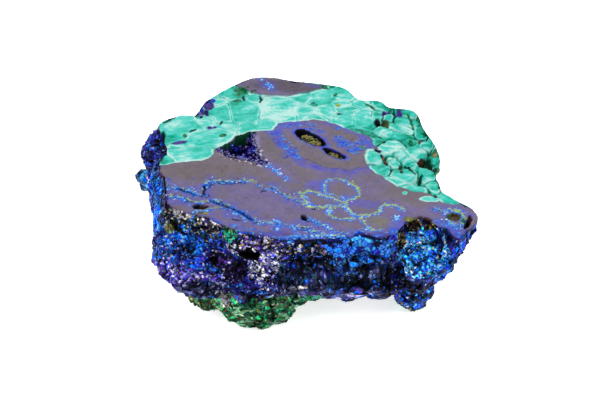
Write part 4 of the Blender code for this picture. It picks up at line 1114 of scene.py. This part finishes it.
def paint_spots(points, colours, drop):
    """The nodules that stand apart, and the spots and pits."""
    loose = stirred(points, 0.9, 0.18, 921)
    for centre, half, turn, shade in STRAY_NODULES:
        measure = oval(loose, centre, half, turn)
        shade = shade + 0.6 * step_up(measure, 0.6, 0.9) + 0.2 * noise(points, 0.9, 931)
        colours = lay(colours, malachite_tint(shade), fall(measure, 0.95, 1.05))
    ragged = stirred(stirred(points, 1.2, 0.25, 941), 0.5, 0.12, 945)
    flecks = 0.7 + 0.6 * noise(points, 0.4, 951)
    for centre, half, turn, colour, deep in SPOTS:
        measure = oval(ragged, centre, half, turn)
        colours = lay(colours, LINEAR[colour] * flecks[:, None], fall(measure, 0.82, 1.10))
        drop = np.maximum(drop, deep * fall(measure, 0.5, 1.1))
    return colours, drop


def paint_eyes(points, colours, rough, drop):
    """The two eyes: a hollow painted black as shade, heaped with olive grains, ringed in blue."""
    ragged = stirred(points, 0.7, 0.16, 1001)
    near, following, own = grains(points, 0.42, 1021)
    # Painted shade: the heaped grains darken towards their edges.
    shape = 0.15 + 1.0 * step_up(following - near, 0.0, 0.4)
    for centre, half, turn, deep in EYES:
        measure = oval(ragged, centre, half, turn)
        ring = fall(measure, 1.05, 1.6)
        colours = lay(colours, "haze", 0.8 * ring)
        colours = lay(colours, "royal", ring * (own < 0.35) * fall(measure, 1.15, 1.45))
        colours = lay(colours, "sky", ring * (own < 0.12) * fall(measure, 1.1, 1.4))
        # The hollow is painted black: painted shade wherever the olive heap doesn't cover it.
        hollow = fall(measure, 1.04, 1.14)
        colours = lay(colours, "black", hollow)
        heap = oval(ragged + (-0.30, 0.45), centre, (half[0] * 0.74, half[1] * 0.84), turn)
        filling = fall(heap, 0.86, 1.02)
        grain = either(own > 0.65, "tan", "olive")
        colours = lay(colours, grain * shape[:, None], filling * (own > 0.22))
        heaped = deep * (1 - filling) + filling * (0.15 + 0.3 * near)
        drop = np.maximum(drop, heaped * fall(measure, 0.85, 1.02))
        rough = rough + (0.75 - rough) * hollow
    return colours, rough, drop


def vug_side(points):
    """How far each point lies towards the malachite's side of the vug."""
    return points[:, 1] - 0.75 * (points[:, 0] + 14.0)


def vug_floor(inside):
    """How deep the vug is at a distance in from its lip."""
    return VUG_DEPTH * step_up(inside, -0.1, 1.9)


def paint_vug(points, colours, rough, drop):
    """The open vug: dark green on the malachite's side with black painted shade deep under it, indigo
    below, pale specks on its lip.
    """
    ragged = stirred(points, 0.8, 0.22, 1101)
    inside = inset(ragged, VUG_LOOP)
    lip = step_up(inside, -1.1, -0.2)
    near, _, own = grains(points, 0.45, 1111)
    speck = lip * (own > 0.45) * step_up(points[:, 0] * 0.45 - points[:, 1], -8.5, -5.5)
    low = points[:, 1] < 0.4 * (points[:, 0] + 20)
    pale = either(own > 0.75, "white", "brown")
    colours = lay(colours, pale, 0.75 * speck * low)
    streak = fall(np.abs(points[:, 0] + 8.6 + 0.1 * points[:, 1]), 0.3, 1.0) * (inside < 0.1)
    streak = streak * step_up(points[:, 1], -1.5, 1.0) * fall(points[:, 1], 6.0, 7.5)
    mottle = step_up(noise(points * (1, 0.4), 0.6, 1121), -0.1, 0.4)
    colours = lay(colours, "lavender", 0.3 * streak * mottle)
    hollow = step_up(inside, -0.05, 0.15)
    upper = step_up(vug_side(points), 2.0, 5.0)
    deep = either(own > 0.8, "indigo", "navy")
    colours = lay(colours, deep, hollow)
    colours = lay(colours, "dark green", hollow * upper * fall(inside, 0.9, 1.6))
    # Black deep under the malachite's side: painted shade.
    colours = lay(colours, "black", hollow * upper * step_up(inside, 1.2, 1.8))
    drop = np.maximum(drop, vug_floor(inside) + 0.4 * hollow * noise(points, 0.9, 1131))
    drop = drop + 0.15 * speck * (0.5 - near)
    return colours, rough + (0.3 - rough) * hollow, drop


def without_crumbs(quads, count):
    """Drops the quads that hang together with only a few others."""
    island = islands(quads, count)[quads[:, 0]]
    return quads[np.bincount(island, minlength=count)[island] > LARGEST_CRUMB]


def face_pieces(azurite, malachite, tree):
    """The sawn face's two stones, trimmed where they would come out of the wall."""
    low = RIM_LOOP.min(axis=0) - FACE_LAP - FACE_GRAIN
    high = RIM_LOOP.max(axis=0) + FACE_LAP + FACE_GRAIN
    columns, rows = np.ceil((high - low) / FACE_GRAIN).astype(int)
    across, up = np.meshgrid(np.arange(columns), np.arange(rows))
    points = low + FACE_GRAIN * np.column_stack([across.ravel(), up.ravel()])
    kept = inset(points, RIM_LOOP) > -FACE_LAP
    colours = np.zeros((len(points), 3))
    rough = np.zeros(len(points))
    band = np.zeros(len(points))
    height = np.full(len(points), FACE_Z)
    colours[kept], rough[kept], height[kept], edge, band[kept] = paint_face(points[kept])
    outside = np.flatnonzero(kept)[edge < 0.6]
    solid = np.column_stack([points, height])
    for index in outside:
        spot, normal, _, _ = tree.find_nearest(Vector(solid[index]))
        if (Vector(solid[index]) - spot).dot(normal) > 0.02:
            kept[index] = False
    corner = np.arange(rows * columns).reshape(rows, columns)
    quads = np.stack([corner[:-1, :-1], corner[:-1, 1:], corner[1:, 1:], corner[1:, :-1]], axis=-1)
    quads = quads.reshape(-1, 4)
    quads = without_crumbs(quads[kept[quads].all(axis=1)], len(points))
    green = band[quads].mean(axis=1) > 0
    for name, material, chosen in (
            ("azurite_face", azurite, ~green), ("malachite_face", malachite, green)):
        used, place = np.unique(quads[chosen], return_inverse=True)
        obj = mesh_object(name, solid[used], place.reshape(-1, 4), smooth=True)
        keep_colours(obj.data, colours[used], rough[used])
        finish_piece(obj, material, "stone", "stone")


# Crystals.

# One loose crystal: a spike on a four-sided girdle, pointed below too.
SPIKE = np.array([
    (0.5, 0.0, 0.0), (0.0, 0.28, 0.0), (-0.5, 0.0, 0.0), (0.0, -0.28, 0.0), (0.1, 0.05, 0.75),
    (0.0, 0.0, -0.5),
])
SPIKE_FACES = np.array([
    (0, 1, 4), (1, 2, 4), (2, 3, 4), (3, 0, 4), (1, 0, 5), (2, 1, 5), (3, 2, 5), (0, 3, 5),
])


def stand_on(spots, normals, lean, generator):
    """Axes for a crystal on each spot: up along the normal, leaning at random, and turned at random."""
    up = normals + lean * generator.normal(size=(len(spots), 3))
    up /= np.linalg.norm(up, axis=1)[:, None]
    side = np.cross(up, generator.normal(size=(len(spots), 3)))
    side /= np.linalg.norm(side, axis=1)[:, None]
    return np.stack([side, np.cross(up, side), up], axis=1)


def many(name, shapes, faces, spots, axes, colours, rough, top=math.inf):
    """One mesh of a shape for each spot, in its own colour, and with nothing higher than top."""
    points = spots[:, None] + np.einsum("nvk,nkj->nvj", shapes, axes)
    points[..., 2] = np.minimum(points[..., 2], top)
    count, corners = points.shape[:2]
    faces = faces[None] + corners * np.arange(count)[:, None, None]
    obj = mesh_object(name, points.reshape(-1, 3), faces.reshape(-1, 3))
    keep_colours(obj.data, np.repeat(colours, corners, axis=0), np.repeat(rough, corners))
    return obj


def crystals_piece(name, spots, normals, sizes, colours, rough, material, seed):
    """Small crystals on the spots, as one mesh."""
    generator = np.random.default_rng(seed)
    axes = stand_on(spots, normals, 0.7, generator)
    shapes = sizes[:, None, None] * SPIKE[None] * generator.uniform(0.7, 1.3, (len(spots), 1, 3))
    sunk = spots - 0.25 * sizes[:, None] * normals
    obj = many(name, shapes, SPIKE_FACES, sunk, axes, colours, rough)
    finish_piece(obj, material, "stone")


def wall_crystals(material, surface):
    """Crystals over the druse, thick where the region has many."""
    centres, normals, area, found = surface
    density = by_region("crystals", found)
    size = by_region("size", found)
    density = density * (centres[:, 2] < FACE_Z - 0.5) * (centres[:, 2] > 0.6)
    density = CRYSTAL_DENSITY * density * (1 - fissures(centres))
    generator = np.random.default_rng(11)
    chosen = np.flatnonzero(generator.random(len(area)) < density * area)
    near_by = centres[chosen] + generator.normal(size=(len(chosen), 3))
    colours, rough = wall_colours(near_by, found[chosen])
    colours = np.clip(colours * generator.uniform(0.6, 1.7, len(chosen))[:, None], 0, 1)
    sizes = size[chosen] * generator.uniform(0.35, 1.15, len(chosen))
    half = len(chosen) // 2
    for number, part in enumerate((slice(0, half), slice(half, None)), 1):
        crystals_piece(
            f"wall_crystals_{number}", centres[chosen][part], normals[chosen][part], sizes[part],
            colours[part], 0.6 * rough[part], material, 12 + number)


def blade_shape():
    """A flat blade with a chisel tip: points and faces."""
    ring = [(0.5, 0.1), (0.28, 0.26), (-0.28, 0.26), (-0.5, -0.1), (-0.28, -0.26), (0.28, -0.26)]
    low = [(x * 0.8, y * 0.8, -0.3) for x, y in ring]
    high = [(x, y, 0.72) for x, y in ring]
    top = [(0.22, 0.0, 1.0), (-0.22, 0.0, 0.96)]
    faces = [(i, (i + 1) % 6, 6 + (i + 1) % 6) for i in range(6)]
    faces += [(i, 6 + (i + 1) % 6, 6 + i) for i in range(6)]
    faces += [(6, 7, 12), (7, 8, 12), (8, 13, 12), (8, 9, 13)]
    faces += [(9, 10, 13), (10, 11, 13), (11, 12, 13), (11, 6, 12)]
    return np.array(low + high + top), np.array(faces)


def vug_blades(material):
    """Indigo blades over the vug's floor and lower side."""
    generator = np.random.default_rng(21)
    tries = generator.uniform((-17.0, -3.2), (-7.0, 8.2), (BLADE_TRIES, 2))
    inside = inset(tries, VUG_LOOP)
    tries = tries[(inside > 0.15) & (vug_side(tries) < 4.2)][:MOST_BLADES]
    inside = inset(tries, VUG_LOOP)
    drop = vug_floor(inside)
    spots = np.column_stack([tries, FACE_Z - drop])
    toward = to_line(tries, VUG_LOOP, closed=True)[2] - tries
    normals = np.column_stack([-toward * 0.5, np.ones(len(tries))])
    normals /= np.linalg.norm(normals, axis=1)[:, None]
    axes = stand_on(spots, normals, 0.45, generator)
    shape, faces = blade_shape()
    length = generator.uniform(0.8, 2.0, len(spots))
    length = np.minimum(length, 0.5 + drop)
    width = length * generator.uniform(0.35, 0.6, len(spots))
    scale = np.stack([width, width, length], axis=1)[:, None]
    names = ["indigo", "indigo", "navy", "deep blue", "violet", "indigo", "navy", "royal"]
    colours = lights(*names)[generator.integers(0, len(names), len(spots))]
    rough = generator.uniform(0.05, 0.2, len(spots))
    top = FACE_Z - 0.1
    obj = many("vug_blades", shape[None] * scale, faces, spots, axes, colours, rough, top)
    finish_piece(obj, material, "vug_crystals", "vug_crystals")


# Materials.


class Shader:
    """A material's node tree, built a node at a time."""

    def __init__(self, name):
        self.material = bpy.data.materials.new(name)
        self.material.use_nodes = True
        self.tree = self.material.node_tree
        self.surface = self.tree.nodes["Principled BSDF"]

    def node(self, kind, inputs=(), **settings):
        """Adds a node. Each input is a value or another node's output."""
        node = self.tree.nodes.new(kind)
        for key, value in settings.items():
            setattr(node, key, value)
        self.feed(node, dict(inputs))
        return node

    def feed(self, node, inputs):
        for key, value in inputs.items():
            if isinstance(value, bpy.types.NodeSocket):
                self.tree.links.new(value, node.inputs[key])
            else:
                node.inputs[key].default_value = value

    def position(self):
        """Object coordinates in millimetres."""
        place = self.node("ShaderNodeTexCoord").outputs["Object"]
        scale = {"Vector": place, "Scale": (1 / MM,) * 3}
        return self.node("ShaderNodeMapping", scale).outputs["Vector"]

    def stored(self):
        """The place in millimetres, and the colour and roughness stored on the mesh."""
        place = self.position()
        tint = self.node("ShaderNodeAttribute", attribute_name="tint").outputs["Color"]
        gloss = self.node("ShaderNodeAttribute", attribute_name="gloss").outputs["Fac"]
        return place, tint, gloss

    def noise(self, place, scale, detail=3.0):
        inputs = {"Vector": place, "Scale": scale, "Detail": detail, "Roughness": 0.6}
        return self.node("ShaderNodeTexNoise", inputs).outputs["Fac"]

    def cells(self, place, scale, feature="F1"):
        return self.node("ShaderNodeTexVoronoi", {"Vector": place, "Scale": scale}, feature=feature)

    def spread(self, value, low, high):
        """The value, from 0 to 1, spread from low to high."""
        inputs = {"Value": value, "To Min": low, "To Max": high}
        return self.node("ShaderNodeMapRange", inputs).outputs["Result"]

    def math(self, operation, first, second):
        return self.node("ShaderNodeMath", {0: first, 1: second}, operation=operation).outputs[0]

    def varied(self, colour, hue, value):
        inputs = {"Color": colour, "Hue": hue, "Value": value}
        return self.node("ShaderNodeHueSaturation", inputs).outputs["Color"]

    def bump(self, height, strength, distance, normal=None):
        inputs = {"Height": height, "Strength": strength, "Distance": distance * MM}
        if normal is not None:
            inputs["Normal"] = normal
        return self.node("ShaderNodeBump", inputs).outputs["Normal"]


def druse_material():
    """Rough crystalline rock: every grain has its own brightness, hue and gloss."""
    shader = Shader("druse")
    place, tint, gloss = shader.stored()
    cells = shader.cells(place, 2.6)
    lone = shader.node("ShaderNodeSeparateColor", {"Color": cells.outputs["Color"]})
    value = shader.math("MULTIPLY", shader.spread(lone.outputs["Red"], 0.6, 1.45),
                        shader.spread(shader.noise(place, 0.6), 0.75, 1.25))
    hue = shader.spread(lone.outputs["Green"], 0.485, 0.515)
    fine = shader.noise(place, 6.0, 4.0)
    rough = shader.math("ADD", gloss, shader.spread(fine, -0.14, 0.14))
    first = shader.bump(cells.outputs["Distance"], 0.5, -0.16)
    shader.feed(shader.surface, {
        "Base Color": shader.varied(tint, hue, value), "Roughness": rough,
        "Normal": shader.bump(fine, 0.35, 0.08, first), "Specular IOR Level": 0.04})
    return shader.material


def polished_material(name):
    """Stone under a polish: faint grain, fine scratches and small pits."""
    shader = Shader(name)
    place, tint, gloss = shader.stored()
    fine = shader.noise(place, 3.2, 5.0)
    pits = shader.noise(place, 9.0, 2.0)
    value = shader.math("MULTIPLY", shader.spread(fine, 0.82, 1.18), shader.spread(pits, 0.93, 1.07))
    hue = shader.spread(shader.noise(place, 1.3), 0.49, 0.51)
    rough = shader.math("ADD", gloss, shader.spread(fine, -0.08, 0.12))
    shader.feed(shader.surface, {
        "Base Color": shader.varied(tint, hue, value), "Roughness": rough,
        "Normal": shader.bump(pits, 0.12, 0.03, shader.bump(fine, 0.2, 0.05)),
        "Specular IOR Level": 0.06})
    return shader.material


def crystal_material(name, coat, depth):
    """Glossy crystal faces with a little colour and gloss variation from face to face."""
    shader = Shader(name)
    place, tint, gloss = shader.stored()
    cloud = shader.noise(place, 1.8, 3.0)
    fine = shader.noise(place, 8.0, 2.0)
    hue = shader.spread(cloud, 0.488, 0.512)
    value = shader.spread(fine, 0.75, 1.3)
    shader.feed(shader.surface, {
        "Base Color": shader.varied(tint, hue, value),
        "Roughness": shader.math("ADD", gloss, shader.spread(fine, -0.04, 0.08)),
        "Normal": shader.bump(fine, depth, 0.03), "Specular IOR Level": 0.22,
        "Coat Weight": coat, "Coat Roughness": 0.05})
    return shader.material


def floor_material():
    """A plain pale floor with the faint unevenness of paper."""
    shader = Shader("studio_floor")
    place = shader.position()
    cloud = shader.noise(place, 0.02)
    shade = shader.node("ShaderNodeMix", {
        "Factor": cloud, "A": (0.90, 0.90, 0.90, 1), "B": (0.93, 0.93, 0.935, 1)}, data_type="RGBA")
    shader.feed(shader.surface, {
        "Base Color": shade.outputs["Result"], "Roughness": 0.9,
        "Emission Color": (1, 1, 1, 1), "Emission Strength": FLOOR_GLOW,
        "Normal": shader.bump(shader.noise(place, 1.2), 0.05, 0.05)})
    return shader.material


# Studio. The camera's place is in metres, its tilt is up from straight down, in degrees, and its
# lens is in millimetres.

CAMERA_PLACE = (0.0005, -0.3608, 0.2639)
CAMERA_TILT = 55.0
LENS = 131.0
FLOOR_GLOW = 0.65  # the floor is lit a little from below, which keeps the shadow pale


def make_camera():
    data = bpy.data.cameras.new("photo_camera")
    data.lens = LENS
    data.sensor_width = 36.0
    data.clip_start = 0.01
    camera = add_object("photo_camera", data)
    camera.location = CAMERA_PLACE
    camera.rotation_euler = (math.radians(CAMERA_TILT), 0, 0)
    bpy.context.scene.camera = camera


def make_lamp(name, place, size, power, target=(0, 0, 0.012)):
    data = bpy.data.lights.new(name, "AREA")
    data.shape = "DISK"
    data.size = size
    data.energy = power
    lamp = add_object(name, data)
    lamp.location = place
    lamp.rotation_euler = (Vector(target) - Vector(place)).to_track_quat("-Z", "Y").to_euler()


def make_studio():
    world = bpy.data.worlds.new("studio")
    world.use_nodes = True
    background = world.node_tree.nodes["Background"]
    background.inputs["Color"].default_value = (1, 1, 1, 1)
    background.inputs["Strength"].default_value = 0.85
    bpy.context.scene.world = world
    make_lamp("softbox_left", (-0.45, -0.35, 0.60), 0.35, 2.6)
    make_lamp("softbox_right", (0.50, -0.30, 0.40), 0.25, 1.3)
    make_lamp("softbox_back", (0.05, 0.55, 0.55), 0.40, 1.5)
    reach = 6.0
    corners = np.array([(-reach, -reach, 0), (reach, -reach, 0), (reach, reach, 0), (-reach, reach, 0)])
    floor = mesh_object("studio_floor", corners / MM, np.array([(0, 1, 2, 3)]))
    floor.data.materials.append(floor_material())
    bpy.context.scene.view_settings.view_transform = "Standard"


def main():
    make_camera()
    make_studio()
    tree, surface = wall_pieces(druse_material())
    azurite = polished_material("polished_azurite")
    malachite = polished_material("polished_malachite")
    face_pieces(azurite, malachite, tree)
    wall_crystals(crystal_material("druse_crystals", 0.0, 0.2), surface)
    vug_blades(crystal_material("vug_crystals", 0.2, 0.1))


main()
